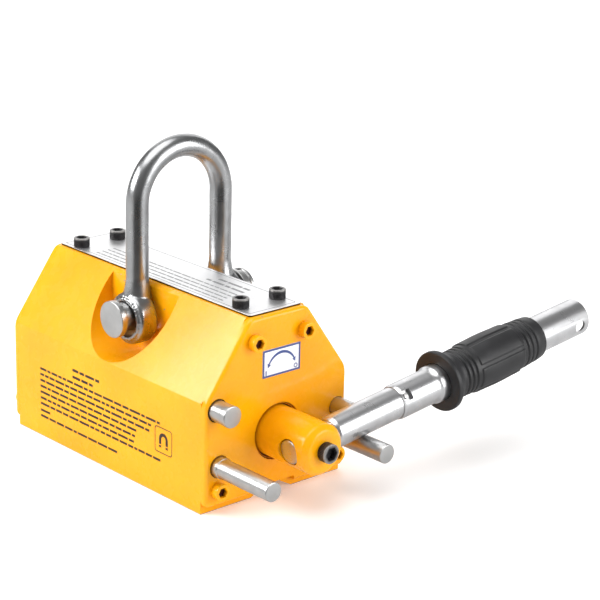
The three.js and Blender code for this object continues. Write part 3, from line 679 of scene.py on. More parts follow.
def front_plate():
    """The front plate, with its holes and the shallow recesses round the long pins."""
    shape = end_plate("front_end_plate_painted", -1)
    through = 2 * (HALF_LENGTH - POLE_END)
    stops = ("left_stop_pin", "right_stop_pin")

    def hole(node, radius, depth=through):
        middle = centre_of(node)
        ahead = front_face - 2 * MM
        return bar_cutter(radius, Vector((middle.x, ahead, middle.z)), REAR, depth + 2)

    cutters = [hole("hub_seal", HUB_HOLE_RADIUS)]
    cutters += [hole("lock_pin_ring", RING_RECESS_RADIUS, FACE_RECESS_DEPTH)]
    cutters += [hole(name, STOP_RECESS_RADIUS, FACE_RECESS_DEPTH) for name in stops]
    cutters += [hole(name, PIN_HOLE_RADIUS) for name in (*stops, "short_pin")]
    cutters += [hole("lock_pin_ring", LOCK_PIN_HOLE_RADIUS)]
    carve(shape, cutters)
    bevel(shape, 0.35, 3, angle=40)
    return stand_in(shape, "housing", "yellow_paint", "front_end_plate")


def rear_plate():
    shape = end_plate("rear_end_plate_painted", 1)
    bevel(shape, 0.35, 3, angle=40)
    return stand_in(shape, "housing", "yellow_paint", "rear_end_plate")


def nameplate():
    low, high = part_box("nameplate")
    corners = rectangle((high.x - low.x) / 2 / MM, (high.y - low.y) / 2 / MM, 1.5)
    bm = bmesh.new()
    rings = [[bm.verts.new((x * MM, y * MM, z)) for x, y in corners] for z in (low.z, high.z)]
    skin(bm, rings, capped=True)
    plate = from_bmesh("nameplate_brushed", bm, BODY_FRAME, PLATE_ALUMINIUM)
    bevel(plate, 0.15, 2)
    return stand_in(plate, "housing", "bare_aluminium", "nameplate")


# ---- screws


KNURL_TEETH = 36
COLUMNS_PER_TOOTH = 4
SHANK_RADIUS, SHANK_LENGTH = 2.4, 3
M5_HEAD, M5_SOCKET = 4.25, 2.3
M6_HEAD, M6_SOCKET = 5, 2.9
HEAD_HEIGHT, PAINTED_HEAD_HEIGHT = 5, 4.4
SOCKET_DEPTH = 0.56  # of the head's height


def cap_screw_mesh(head, height, knurl, soft):
    """A cap screw's head and the start of its shank, in mm, with its seat at 0 and its head
    towards local +X. The knurl is the depth of the grooves round the head."""
    low, high = 0.12 * height, 0.80 * height
    profile = [(0, -SHANK_LENGTH), (SHANK_RADIUS, -SHANK_LENGTH), (SHANK_RADIUS, 0),
               (head - 0.15, 0)]
    profile += [(head, low + (high - low) * row / 6) for row in range(7)]
    profile += soften([(head, high), (head, height), (0, height)], soft, steps=6)[1:]
    sides = KNURL_TEETH * COLUMNS_PER_TOOTH
    bm = lathe_mesh(profile, sides)
    for vertex in bm.verts:
        radius = math.hypot(vertex.co.y, vertex.co.z)
        in_band = low * MM < vertex.co.x < (high - 0.01) * MM and radius > (head - 0.05) * MM
        column = round(math.atan2(vertex.co.z, vertex.co.y) / (2 * math.pi) * sides)
        if in_band and column % COLUMNS_PER_TOOTH == 0:
            vertex.co.y *= 1 - knurl / head
            vertex.co.z *= 1 - knurl / head
    # The attribute "edge" rises to 1 over the top of the head, its rim and its face; black screws
    # are lightened there, partly as a painted highlight.
    crown = bm.verts.layers.float.new("edge")
    for vertex in bm.verts:
        vertex[crown] = smooth_step(vertex.co.x / MM, high, high + 0.4)
    return bm


def mark_socket_shade(obj, radius, top):
    """Writes the attribute "pit", 1 inside the screw's socket, where the paint is darkened as
    painted shade.
    """
    pit = obj.data.attributes.new("pit", "FLOAT", "POINT")
    for vertex in obj.data.vertices:
        inside = math.hypot(vertex.co.y, vertex.co.z) < radius * MM
        below = vertex.co.x < (top - 0.4) * MM
        pit.data[vertex.index].value = 1.0 if inside and below and vertex.co.x > 0 else 0.0


def cap_screw(name, seat, direction, material, head=M5_HEAD, socket=M5_SOCKET,
              height=HEAD_HEIGHT, knurl=0.22, soft=0.7):
    """A socket-head screw, in mm. Its seat is a point in metres and its head faces direction."""
    matrix = facing(seat, direction)
    screw = from_bmesh(name, cap_screw_mesh(head, height, knurl, soft), matrix, material)
    corner = socket / math.cos(math.radians(30))
    floor_at = height * (1 - SOCKET_DEPTH)
    hexagon = lathe_mesh([(0, floor_at - 0.8), (corner, floor_at), (corner, height - 0.35),
                          (corner + 0.3, height + 0.05), (corner + 0.3, height + 1),
                          (0, height + 1)], 6)
    carve(screw, [from_bmesh("cutter", hexagon, matrix, material)])
    # Marks the socket, where shade is painted into the paint's colour.
    mark_socket_shade(screw, corner + 0.05, height)
    return finish_mesh(screw, 40)


def all_screws():
    for end, face, direction in (("front", front_face, FRONT), ("rear", rear_face, REAR)):
        for index in range(1, 5):
            node = f"{end}_plate_screw_{index}"
            middle = centre_of(node)
            screw = cap_screw(node + "_painted", Vector((middle.x, face, middle.z)), direction,
                              PLATE_PAINT, height=PAINTED_HEAD_HEIGHT, knurl=0.03, soft=1.3)
            stand_in(screw, "housing", "yellow_paint", node)
    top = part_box("nameplate")[1].z
    for index in range(1, 5):
        node = f"nameplate_screw_{index}"
        middle = centre_of(node)
        screw = cap_screw(node + "_black", Vector((middle.x, middle.y, top)), UP, BLACK_SCREW)
        stand_in(screw, "housing", "black_oxide", node)
    seat = Vector((PIVOT.x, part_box("hub_screw")[0].y + HEAD_HEIGHT * MM, PIVOT.z))
    screw = cap_screw("hub_screw_black", seat, FRONT, BLACK_SCREW, M6_HEAD, M6_SOCKET)
    stand_in(screw, "rotor", "black_oxide", "hub_screw")


# ---- pins on the plate


STOP_SHOULDER_RADIUS, SHOULDER_INSIDE, SHOULDER_PROUD = 5.35, 1.45, 3.6
SHORT_PIN_INSIDE = 12
COLLAR_NEAR, COLLAR_FAR = 12.3, 15
LOCK_PIN_HEAD_RADIUS = 5.55


def pin_frame(node):
    """A frame on a pin's axis with its origin on the front plate's face and +X forward."""
    middle = centre_of(node)
    return facing(Vector((middle.x, front_face, middle.z)), FRONT)


def pin_ends(node):
    """How far a pin stands out of the front plate's face, and how far it goes in, in mm."""
    low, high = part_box(node)
    return (front_face - low.y) / MM, (high.y - front_face) / MM


def stop_pins():
    """The two long stop pins, each with a shoulder at the plate, and the short pin."""
    shoulder = STOP_SHOULDER_RADIUS
    for node in ("left_stop_pin", "right_stop_pin"):
        proud, inside = pin_ends(node)
        profile = [
            (0, -inside), (PIN_RADIUS, -inside), (PIN_RADIUS, -SHOULDER_INSIDE),
            (shoulder, -SHOULDER_INSIDE), (shoulder, SHOULDER_PROUD),
            (PIN_RADIUS, SHOULDER_PROUD + 0.2), (PIN_RADIUS, proud), (0, proud),
        ]
        pin = lathe(node + "_turned", profile, pin_frame(node), PIN_STEEL, soft=0.5)
        stand_in(pin, "housing", "bright_steel", node)
    proud = pin_ends("short_pin")[0]
    profile = [(0, -SHORT_PIN_INSIDE), (PIN_RADIUS, -SHORT_PIN_INSIDE), (PIN_RADIUS, proud),
               (0, proud)]
    pin = lathe("short_pin_turned", profile, pin_frame("short_pin"), PIN_STEEL, soft=0.5)
    stand_in(pin, "housing", "bright_steel", "short_pin")


def lock_pin():
    """The sliding pin with its inner collar, and the rubber ring round it."""
    proud, inside = pin_ends("lock_pin")
    neck, head = LOCK_PIN_NECK, LOCK_PIN_HEAD_RADIUS
    profile = [
        (0, -inside), (neck, -inside), (neck, -COLLAR_FAR), (LOCK_PIN_COLLAR, -COLLAR_FAR),
        (LOCK_PIN_COLLAR, -COLLAR_NEAR), (neck, -COLLAR_NEAR), (neck, proud - 4),
        (head, proud - 3.8), (head, proud), (0, proud),
    ]
    pin = lathe("lock_pin_turned", profile, pin_frame("lock_pin"), PIN_STEEL, soft=0.45)
    stand_in(pin, "lock_pin", "bright_steel", "lock_pin")
    ring = lathe("lock_pin_ring_rubber", [(5.6, -1.55), (5.95, -1.55), (5.95, -0.5), (5.6, -0.5)],
                 pin_frame("lock_pin_ring"), SEAL_RUBBER, closed=True, soft=0.2)
    stand_in(ring, "housing", "black_rubber", "lock_pin_ring")


# ---- hub and handle

HUB_RADIUS, HUB_CHAMFER = 13.25, 2.6
FLANGE_RADIUS, FLANGE_THICKNESS = 22.8, 5
CROSS_HOLE_RADIUS, TAPPED_RADIUS, TAPPED_DEPTH = 6.8, 3.15, 25


def hub():
    """The painted hub with its shaft and flange, and the seal in the gap round it."""
    low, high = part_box("front_hub")
    front = (PIVOT.y - low.y) / MM
    rear = (PIVOT.y - high.y) / MM
    shaft_end = rear + FLANGE_THICKNESS
    profile = [
        (0, rear), (FLANGE_RADIUS, rear), (FLANGE_RADIUS, shaft_end), (HUB_RADIUS, shaft_end),
        (HUB_RADIUS, front - HUB_CHAMFER), (HUB_RADIUS - HUB_CHAMFER, front), (0, front),
    ]
    shape = lathe("front_hub_painted", profile, facing(PIVOT, FRONT), PLATE_PAINT, sides=128,
                  soft=0.8)
    start = PIVOT - ALONG * (HUB_RADIUS + 4) * MM
    carve(shape, [
        bar_cutter(CROSS_HOLE_RADIUS, start, ALONG, 2 * HUB_RADIUS + 8),
        bar_cutter(TAPPED_RADIUS, PIVOT + FRONT * (front + 1) * MM, REAR, TAPPED_DEPTH + 1, 48),
    ])
    bevel(shape, 0.5, 3, angle=40)
    stand_in(shape, "rotor", "yellow_paint", "front_hub")
    seal = lathe("hub_seal_rubber", [
        (13.45, -3.6), (14.75, -3.6), (14.75, -2.6), (14.4, -2.6), (14.4, -1.0), (14.05, -1.0),
        (14.05, -2.6), (13.45, -2.6),
    ], pin_frame("hub_seal"), HUB_SEAL, sides=128, closed=True, soft=0.12)
    stand_in(seal, "housing", "black_rubber", "hub_seal")


SLOT_ANGLE = math.radians(37)
SLOT_START, SLOT_LENGTH, SLOT_WIDTH = 59.4, 5.6, 5.8
GUIDE_PIN_AT, GUIDE_PIN_RADIUS = 61.2, 1.5
END_HOLE_ANGLE = math.radians(-5)
END_HOLE_AT, END_HOLE_RADIUS = 191, 3.5
PAST_TUBE = 12  # a radius outside the tube's wall


def on_handle(along, angle):
    """A frame in the handle whose +X points outward at an angle above the handle's front."""
    outward = Vector((0, -math.cos(angle), math.sin(angle)))
    spin = outward.to_track_quat("X", "Z").to_matrix().to_4x4()
    return HANDLE_FRAME @ Matrix.Translation(Vector((along * MM, 0, 0))) @ spin


SPIGOT_RADIUS, ROD_RADIUS, ROD_SHOULDER = 6.6, 8.5, 13.9


def handle_rod():
    """The machined rod from its spigot in the hub to its end in the tube, and the guide pin."""
    start, end = reach("handle_rod", HANDLE_FRAME, RIGHT)
    start += 0.4
    tail = SPIGOT_RADIUS - 0.4
    profile = [
        (0, start), (tail, start), (tail, 12), (SPIGOT_RADIUS, 12), (SPIGOT_RADIUS, ROD_SHOULDER),
        (ROD_RADIUS - 0.9, ROD_SHOULDER), (ROD_RADIUS, ROD_SHOULDER + 2), (ROD_RADIUS, end - 1),
        (ROD_RADIUS - 1, end), (0, end),
    ]
    rod = lathe("handle_rod_machined", profile, HANDLE_FRAME, ROD_STEEL, sides=128, soft=0.5)
    carve(rod, [slot_cutter("pocket", 7.0, 0.6)])
    stand_in(rod, "rotor", "plated_steel", "handle_rod")
    peg = lathe("guide_pin_turned", [
        (0, 3.5), (GUIDE_PIN_RADIUS, 3.5), (GUIDE_PIN_RADIUS, 9.3), (0, 9.3),
    ], on_handle(GUIDE_PIN_AT, SLOT_ANGLE), PIN_STEEL, sides=48, soft=0.3)
    stand_in(peg, "rotor", "bright_steel", "guide_pin")


def slot_cutter(name, floor, margin=0.0):
    """A block the size of the guide slot, from a radius of floor outward, all in mm."""
    frame_matrix = on_handle(SLOT_START + SLOT_LENGTH / 2, SLOT_ANGLE)
    outward = frame_matrix.to_3x3() @ RIGHT
    matrix = axes_frame(frame_matrix.translation, ALONG, outward, outward.cross(ALONG))
    half, width = SLOT_LENGTH / 2 + margin, SLOT_WIDTH / 2 + margin
    outline = [(-half, -width), (half, -width), (half, width), (-half, width)]
    return prism(name, outline, (floor, PAST_TUBE), matrix, ROD_STEEL)


def handle_tube():
    """The chromed tube with its slot, bead and end hole, and the plug inside it."""
    start, end = reach("handle_tube", HANDLE_FRAME, RIGHT)
    mouth, bore, neck, outer, bead = 8.65, 8.8, 9.3, 10.0, 10.15
    profile = [
        (mouth, start), (mouth + 0.15, start), (neck, start + 1.8), (neck, 82.5), (9.5, 84),
        (bead, 85.6), (bead, 88.3), (outer, 89), (outer, end - 0.1), (bore + 0.1, end - 0.1),
        (bore, end - 1), (bore, start + 2), (mouth, start + 1),
    ]
    tube = lathe("handle_tube_chromed", profile, HANDLE_FRAME, ROD_STEEL, sides=144,
                 closed=True, soft=0.5)
    hole_frame = on_handle(END_HOLE_AT, END_HOLE_ANGLE)
    outward = hole_frame.to_3x3() @ RIGHT
    origin = hole_frame.translation - outward * PAST_TUBE * MM
    end_hole = bar_cutter(END_HOLE_RADIUS, origin, outward, 2 * PAST_TUBE, 64)
    carve(tube, [slot_cutter("cutter", 6), end_hole])
    bevel(tube, 0.18, 2, angle=45)
    stand_in(tube, "sliding_handle", "plated_steel", "handle_tube")
    plug_start, plug_end = reach("handle_end_plug", HANDLE_FRAME, RIGHT)
    plug = lathe("handle_end_plug_moulded", [
        (0, plug_start), (ROD_RADIUS, plug_start), (ROD_RADIUS, plug_end), (5.5, plug_end),
        (5.0, plug_end - 1), (0, plug_end - 1),
    ], HANDLE_FRAME, PLUG_PLASTIC, sides=96, soft=0.5)
    stand_in(plug, "sliding_handle", "black_plastic", "handle_end_plug")


SPRING_TURNS, COIL_RADIUS, WIRE_RADIUS = 5, 6.6, 0.85
STEPS_PER_TURN, WIRE_SIDES = 36, 12


def handle_spring():
    """The return spring: a coil of round wire."""
    start, end = reach("handle_spring", HANDLE_FRAME, RIGHT)
    first, last = start + WIRE_RADIUS, end - WIRE_RADIUS
    steps = SPRING_TURNS * STEPS_PER_TURN
    bm = bmesh.new()
    rings = []
    for step in range(steps + 1):
        turn = 2 * math.pi * SPRING_TURNS * step / steps
        outward = Vector((0, math.cos(turn), math.sin(turn)))
        centre = RIGHT * (first + (last - first) * step / steps) + outward * COIL_RADIUS
        offsets = (outward * math.cos(a) + RIGHT * math.sin(a) for a in around(WIRE_SIDES))
        rings.append([bm.verts.new((centre + off * WIRE_RADIUS) * MM) for off in offsets])
    skin(bm, rings, capped=True)
    coil = from_bmesh("handle_spring_coiled", bm, HANDLE_FRAME, SPRING_WIRE)
    stand_in(coil, "rotor", "spring_steel", "handle_spring")
    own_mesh(coil)


# ---- grip

GRIP_GROOVES = (101.8, 104.9, 108.0, 147.0, 150.6, 154.2)
PAD_COUNT = 6
PAD_START, PAD_END = 111.5, 143.5
PAD_CENTRE_ANGLE = math.radians(50)
PAD_HALF_ANGLE = math.radians(25)
PAD_RISE, BARREL_RADIUS = 0.5, 13.5
GRIP_BORE, GRIP_FLANGE_RADIUS, GRIP_SIDES = 10.3, 16.25, 240


def grip_barrel(along):
    """The grip's radius behind its flange, before grooves and pads, in mm."""
    knots = [(96, 13.4), (99, 12.7), (109, 12.9), (114, 13.2), (127, BARREL_RADIUS), (141, 13.2),
             (146, 12.9), (156, 12.4), (161.2, 11.9), (170, 11.5)]
    for (s0, r0), (s1, r1) in zip(knots, knots[1:]):
        if along <= s1:
            return r0 + (r1 - r0) * smooth_step(along, s0, s1)
    return knots[-1][1]


def groove_depth(along):
    return sum(0.85 * math.exp(-((along - middle) / 0.55) ** 2) for middle in GRIP_GROOVES)


def pad_height(along, angle):
    """Six raised lengthwise pads round the middle of the grip."""
    pitch = 2 * math.pi / PAD_COUNT
    off_centre = abs((angle - PAD_CENTRE_ANGLE + pitch / 2) % pitch - pitch / 2)
    edge = (PAD_HALF_ANGLE - off_centre) * BARREL_RADIUS
    across = smooth_step(edge, -0.35, 0.35)
    lengthwise = smooth_step(along, PAD_START - 0.4, PAD_START + 0.4)
    lengthwise *= 1 - smooth_step(along, PAD_END - 0.4, PAD_END + 0.4)
    return PAD_RISE * across * lengthwise


def grip():
    """The moulded grip: a flange, two groups of ring grooves, and raised pads between them."""
    start, end = reach("handle_grip", HANDLE_FRAME, RIGHT)
    flange = GRIP_FLANGE_RADIUS
    profile = soften([(GRIP_BORE, start), (flange, start), (flange, start + 3.5),
                      (13.9, start + 4.7), (13.0, start + 7)], 1.1, steps=6)
    along = start + 7.4
    while along < end - 1.2:
        profile.append((grip_barrel(along) - groove_depth(along), along))
        along += 0.22
    profile += soften([(11.9, end - 1.0), (11.7, end), (GRIP_BORE, end)], 0.7)
    bm = bmesh.new()
    rings = []
    for radius, s in profile:
        ring = []
        for angle in around(GRIP_SIDES):
            height = pad_height(s, angle) if PAD_START - 1 < s < PAD_END + 1 else 0
            full = (radius + height) * MM
            ring.append(bm.verts.new((s * MM, -full * math.cos(angle), full * math.sin(angle))))
        rings.append(ring)
    skin(bm, rings, closed=True)
    shape = from_bmesh("handle_grip_moulded", bm, HANDLE_FRAME, GRIP_RUBBER)
    finish_mesh(shape, 60)
    stand_in(shape, "sliding_handle", "grip_rubber", "handle_grip")


# ---- shackle

BOW_RADIUS, BAR_RADIUS = 27.2, 5.85
EYE_RADIUS, EYE_BORE, EYE_INWARD, EYE_OUTWARD = 13.5, 9.2, 3.3, 7.3
BOSS_RADIUS, BOSS_OUTWARD = 11.3, 8.5
EYE_DROP = 1.5
BEND_STEPS, BAR_SIDES = 90, 48
SKIN_VOXEL = 0.45


def bow_bar(height):
    """The bent round bar as a bmesh. The eyes' centres are at z = 0 and the bend starts at
    the height, in mm. The legs end above the eyes' bores."""
    leg = range(round(EYE_BORE + 1), round(height), 2)
    stations = [((-BOW_RADIUS, z), (0, 1)) for z in leg]
    for i in range(BEND_STEPS + 1):
        turn = math.pi * i / BEND_STEPS
        stations.append((
            (-BOW_RADIUS * math.cos(turn), height + BOW_RADIUS * math.sin(turn)),
            (math.sin(turn), math.cos(turn)),
        ))
    stations += [((BOW_RADIUS, z), (0, -1)) for z in reversed(leg)]
    bm = bmesh.new()
    rings = []
    for (x, z), (tangent_x, tangent_z) in stations:
        ring = []
        for angle in around(BAR_SIDES):
            off, side = BAR_RADIUS * math.cos(angle), BAR_RADIUS * math.sin(angle)
            place = ((x - tangent_z * off) * MM, side * MM, (z + tangent_x * off) * MM)
            ring.append(bm.verts.new(place))
        rings.append(ring)
    skin(bm, rings, capped=True)
    return bm


def hammer(obj):
    """Works slight forging unevenness into the surface, more round the eyes' bosses."""
    outward_ways = [vertex.normal.copy() for vertex in obj.data.vertices]
    for vertex, way in zip(obj.data.vertices, outward_ways):
        place = vertex.co / MM
        broad = noise.noise(place * 0.16)
        fine = noise.noise(place * 0.9 + Vector((9, 4, 1)))
        from_middle = math.hypot(place.y, place.z)
        outward = abs(place.x) - BOW_RADIUS
        rim = smooth_step(from_middle, 8.6, 9.6) * (1 - smooth_step(from_middle, 11.6, 12.4))
        rim *= smooth_step(outward, 6.6, 7.6)
        vertex.co += way * (0.07 * broad + 0.3 * rim * fine) * MM


def shackle():
    """The forged bow: bar, flares, eyes and bosses joined under one smoothed skin."""
    low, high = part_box("shackle")
    middle = (low + high) / 2
    eye_z = SHACKLE_PIVOT.z - EYE_DROP * MM
    origin = Vector((middle.x, middle.y, eye_z))
    height = (high.z - eye_z) / MM - BOW_RADIUS - BAR_RADIUS
    pieces = [from_bmesh("shackle_forged", bow_bar(height), Matrix.Translation(origin), FORGED)]
    for side in (-1, 1):
        eye_place = origin + RIGHT * side * BOW_RADIUS * MM
        outward = facing(eye_place, RIGHT * side)
        eye = soften([(EYE_BORE, -EYE_INWARD), (EYE_RADIUS, -EYE_INWARD),
                      (EYE_RADIUS, EYE_OUTWARD), (EYE_BORE, EYE_OUTWARD)], 2.4, steps=6)
        boss = soften([(EYE_BORE, 0), (BOSS_RADIUS, 0), (BOSS_RADIUS, BOSS_OUTWARD),
                       (EYE_BORE, BOSS_OUTWARD)], 0.6)
        flare = [(0, EYE_BORE + 0.5), (7.8, EYE_BORE + 0.5), (7.3, 12), (6.4, 16.5),
                 (BAR_RADIUS - 0.2, 22), (0, 22)]
        pieces.append(from_bmesh("eye", lathe_mesh(eye, 96, True), outward, FORGED))
        pieces.append(from_bmesh("boss", lathe_mesh(boss, 96, True), outward, FORGED))
        pieces.append(from_bmesh("flare", lathe_mesh(flare, 64), facing(eye_place, UP), FORGED))
    shape = pieces[0]
    with bpy.context.temp_override(active_object=shape, selected_editable_objects=pieces):
        bpy.ops.object.join()
    remesh = shape.modifiers.new("skin", "REMESH")
    remesh.mode = "VOXEL"
    remesh.voxel_size = SKIN_VOXEL * MM
    soft = shape.modifiers.new("soft", "SMOOTH")
    soft.factor, soft.iterations = 0.5, 14
    bake(shape)
    hammer(shape)
    finish_mesh(shape, 50)
    stand_in(shape, "shackle", "forged_steel", "shackle")


PIN_HEAD_RADIUS, PIN_HEAD_LENGTH = 9.5, 3.5
COLLAR_RADIUS = 10.8
ROLL_PIN_RADIUS, ROLL_PIN_BORE, ROLL_PIN_HALF = 1.5, 0.7, 10.6


def shackle_pin():
    """The pin through the housing, and the collar and roll pin on its far end."""
    on_axis = Matrix.Translation(SHACKLE_PIVOT)
    shank, head = SHACKLE_PIN_RADIUS, PIN_HEAD_RADIUS
    left, right = reach("shackle_pin", on_axis, RIGHT)
    neck = left + PIN_HEAD_LENGTH
    pin = lathe("shackle_pin_turned", [
        (0, left), (head, left), (head, neck), (shank, neck), (shank, right), (0, right),
    ], on_axis, PIN_STEEL, sides=128, soft=0.5)
    stand_in(pin, "housing", "bright_steel", "shackle_pin")
    near, far = reach("shackle_pin_collar", on_axis, RIGHT)
    bore, rim = shank + HOLE_PLAY, COLLAR_RADIUS
    collar = lathe("shackle_pin_collar_turned", [
        (bore, near), (rim, near), (rim, far - 2.6), (rim - 0.5, far - 2.4),
        (rim - 0.5, far - 2.1), (rim, far - 1.9), (rim, far), (bore, far),
    ], on_axis, PIN_STEEL, sides=128, closed=True, soft=0.35)
    middle = SHACKLE_PIVOT + RIGHT * (near + far) / 2 * MM
    below = middle - UP * (COLLAR_RADIUS + 1) * MM
    hole = bar_cutter(ROLL_PIN_RADIUS + HOLE_PLAY, below, UP, 2 * (COLLAR_RADIUS + 1), 32)
    carve(collar, [hole])
    stand_in(collar, "housing", "bright_steel", "shackle_pin_collar")
    roll = lathe("collar_roll_pin_rolled", [
        (ROLL_PIN_BORE, -ROLL_PIN_HALF), (ROLL_PIN_RADIUS, -ROLL_PIN_HALF),
        (ROLL_PIN_RADIUS, ROLL_PIN_HALF), (ROLL_PIN_BORE, ROLL_PIN_HALF),
    ], facing(middle, UP), BLACK_SCREW, sides=32, closed=True, soft=0.2)
    stand_in(roll, "housing", "bright_steel", "collar_roll_pin")


# ---- label and printed marks


FLAT = Matrix.Identity(4)
FILM_THICKNESS, LABEL_INK_DEPTH = 0.25, 0.06
PRINT_DEPTH, ETCHING_DEPTH = 0.03, 0.02


def slab(bm, corners, thickness, matrix=FLAT):
    """A thin raised patch of ink: 2D corners in mm on the XY plane of a matrix."""
    top = [bm.verts.new(matrix @ Vector((x * MM, y * MM, thickness * MM))) for x, y in corners]
    low = [bm.verts.new(matrix @ Vector((x * MM, y * MM, 0))) for x, y in corners]
    bridge(bm, low, top)
    bm.faces.new(top)
    bm.faces.new(list(reversed(low)))


def band(bm, inner, outer, thickness, matrix=FLAT, closed=True):
    """A raised strip of ink between two outlines with the same number of points."""
    count = len(inner)
    last = count if closed else count - 1
    for i in range(last):
        j = (i + 1) % count
        slab(bm, [inner[i], outer[i], outer[j], inner[j]], thickness, matrix)


def polar(centre, radius, angle):
    return centre[0] + radius * math.cos(angle), centre[1] + radius * math.sin(angle)


def arc(centre, radius, start, end, steps=24):
    return [polar(centre, radius, start + (end - start) * i / steps) for i in range(steps + 1)]


def surface_frame(origin, right, up):
    """A frame whose X and Y lie on a surface, seen from outside, and whose Z points outward."""
    return axes_frame(origin, right, up, right.cross(up))


def printed(marks):
    """Ink rides on the housing and stands for no CAD node."""
    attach(marks, "housing")


ARROW_CENTRE, ARROW_RADIUS, ARROW_STEPS = (0, -4.9), 9.3, 32
ARROW_START, ARROW_END = math.radians(29), math.radians(151)
OFF_MARK_CENTRE = (9.3, -4.6)


def double_arrow(bm):
    """An arc that swells towards its middle, with a head at each end."""
    centre, radius, start, end = ARROW_CENTRE, ARROW_RADIUS, ARROW_START, ARROW_END
    inner, outer = [], []
    for step in range(ARROW_STEPS + 1):
        angle = start + (end - start) * step / ARROW_STEPS
        half = 0.4 + 0.3 * math.sin(math.pi * step / ARROW_STEPS)
        inner.append(polar(centre, radius - half, angle))
        outer.append(polar(centre, radius + half, angle))
    band(bm, inner, outer, LABEL_INK_DEPTH, closed=False)
    for angle, spin in ((start, -1), (end, 1)):
        head = [polar(centre, radius + off, angle) for off in (-1.2, 1.2)]
        tip = polar(centre, radius, angle + spin * math.radians(13))
        slab(bm, [*head, tip], LABEL_INK_DEPTH)


def label():
    """The white film, with a border, the double arrow, and the marks I and O."""
    low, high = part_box("off_on_label")
    middle = (low + high) / 2
    half_x, half_z = (high.x - low.x) / 2 / MM, (high.z - low.z) / 2 / MM
    on_face = surface_frame(Vector((middle.x, front_face, middle.z)), RIGHT, UP)
    bm = bmesh.new()
    slab(bm, rectangle(half_x, half_z, 0.6), FILM_THICKNESS)
    film = from_bmesh("off_on_label_film", bm, on_face, LABEL_FILM)
    stand_in(film, "housing", "label", "off_on_label")

    raised = on_face @ Matrix.Translation((0, 0, FILM_THICKNESS * MM))
    bm = bmesh.new()
    border = [rectangle(half_x - edge, half_z - edge, 0.3) for edge in (1.1, 0.05)]
    band(bm, *border, LABEL_INK_DEPTH)
    double_arrow(bm)
    slab(bm, [(-10.4, -6), (-9.7, -6), (-9.7, -3.6), (-10.4, -3.6)], LABEL_INK_DEPTH)
    circles = [arc(OFF_MARK_CENTRE, radius, 0, 2 * math.pi, 20) for radius in (0.75, 1.25)]
    band(bm, *circles, LABEL_INK_DEPTH, closed=False)
    printed(from_bmesh("off_on_label_marks", bm, raised, LABEL_INK))


def greeked_line(bm, rng, start, end, base, height):
    """A line of small print shown as plain bars, one for each word. It says nothing."""
    x = start
    while x < end - height:
        width = min(height * rng.uniform(1.2, 4.2), end - x)
        top = base + height * 0.6
        slab(bm, [(x, base), (x + width, base), (x + width, top), (x, top)], PRINT_DEPTH)
        x += width + height * 0.42


MAGNET_INNER, MAGNET_OUTER, MAGNET_BEND = 1.7, 3.5, 0.6


def magnet_sign(bm, matrix):
    """A horseshoe magnet with its two poles, in a rounded square."""
    band(bm, rectangle(6.4, 6.4, 1.6), rectangle(6.9, 6.9, 1.9), PRINT_DEPTH, matrix)
    bow = [arc((0, MAGNET_BEND), r, 0, math.pi) for r in (MAGNET_INNER, MAGNET_OUTER)]
    band(bm, *bow, PRINT_DEPTH, matrix, closed=False)
    for x0, x1 in ((-MAGNET_OUTER, -MAGNET_INNER), (MAGNET_INNER, MAGNET_OUTER)):
        for low, high in ((-2.2, MAGNET_BEND), (-3.9, -2.8)):
            slab(bm, [(x0, low), (x1, low), (x1, high), (x0, high)], PRINT_DEPTH, matrix)


def side_print():
    """A block of placeholder print on the left side, with a plain magnet sign beside it."""
    rng = random.Random(7)
    on_side = surface_frame(in_body(-HALF_WIDTH, 0, 0), FRONT, UP)
    bm = bmesh.new()
    for base, start, end in ((44.6, -28, -4), (40.8, -28, -8)):
        greeked_line(bm, rng, start, end, base, 2.4)
    spans = [(37.4, 45), (34.2, 38), (30.9, 38), (27.6, 26), (24.3, 26), (21.0, 24), (17.8, 48),
             (14.0, -46), (10.8, 11)]
    for base, end in spans:
        greeked_line(bm, rng, -57, end, base, 2.1)
    magnet_sign(bm, Matrix.Translation((47.9 * MM, 29.5 * MM, 0)))
    printed(from_bmesh("side_print_marks", bm, on_side, SIDE_INK))


def nameplate_print():
    """Faint placeholder lines etched along the nameplate."""
    rng = random.Random(3)
    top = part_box("nameplate")[1].z
    on_top = surface_frame(Vector((MIDDLE.x, MIDDLE.y, top)), FRONT, RIGHT)
    bm = bmesh.new()
    for base in (-12.5, -8.8, -5.1, -1.4):
        greeked_line(bm, rng, -52, 52, base, 1.7)
    for base, start, end in ((3.2, 20, 52), (8.0, 24, 48)):
        greeked_line(bm, rng, start, end, base, 2.8)
    band(bm, rectangle(75.6, 14.6, 1), rectangle(76.0, 15.0, 1), ETCHING_DEPTH)
    printed(from_bmesh("nameplate_etching", bm, on_top, PLATE_INK))


# ---- pieces kept from CAD


def inner_pieces():
    """The pieces inside the housing keep their CAD shape and get their own metals."""
    looks = {
        inner_metal("rotor_steel", (0.52, 0.52, 0.51), stretch=(1, 0.05, 1)):
            ["rotor_pole_left", "rotor_pole_right", "rear_journal"],
        inner_metal("magnet_nickel", (0.66, 0.67, 0.66), 0.22):
            [f"{kind}_magnet_{i}" for kind in ("stator", "rotor") for i in (1, 2, 3)],
        inner_metal("bush_bronze", (0.60, 0.36, 0.14), 0.3, (1, 4, 1)):
            ["front_bush", "rear_bush", "bottom_separator", "rotor_strip_upper",
             "rotor_strip_lower"],
        inner_metal("spacer_aluminium", (0.78, 0.78, 0.79), 0.35, (1, 0.05, 1)): ["top_spacer"],
        BLACK_SCREW: [f"{end}_flange_screw_{side}" for end in ("front", "rear")
                      for side in ("left", "right")],
    }
    for material, nodes in looks.items():
        for node in nodes:
            data = frame["nodes"][node].data
            data.materials.clear()
            data.materials.append(material)


# ---- studio


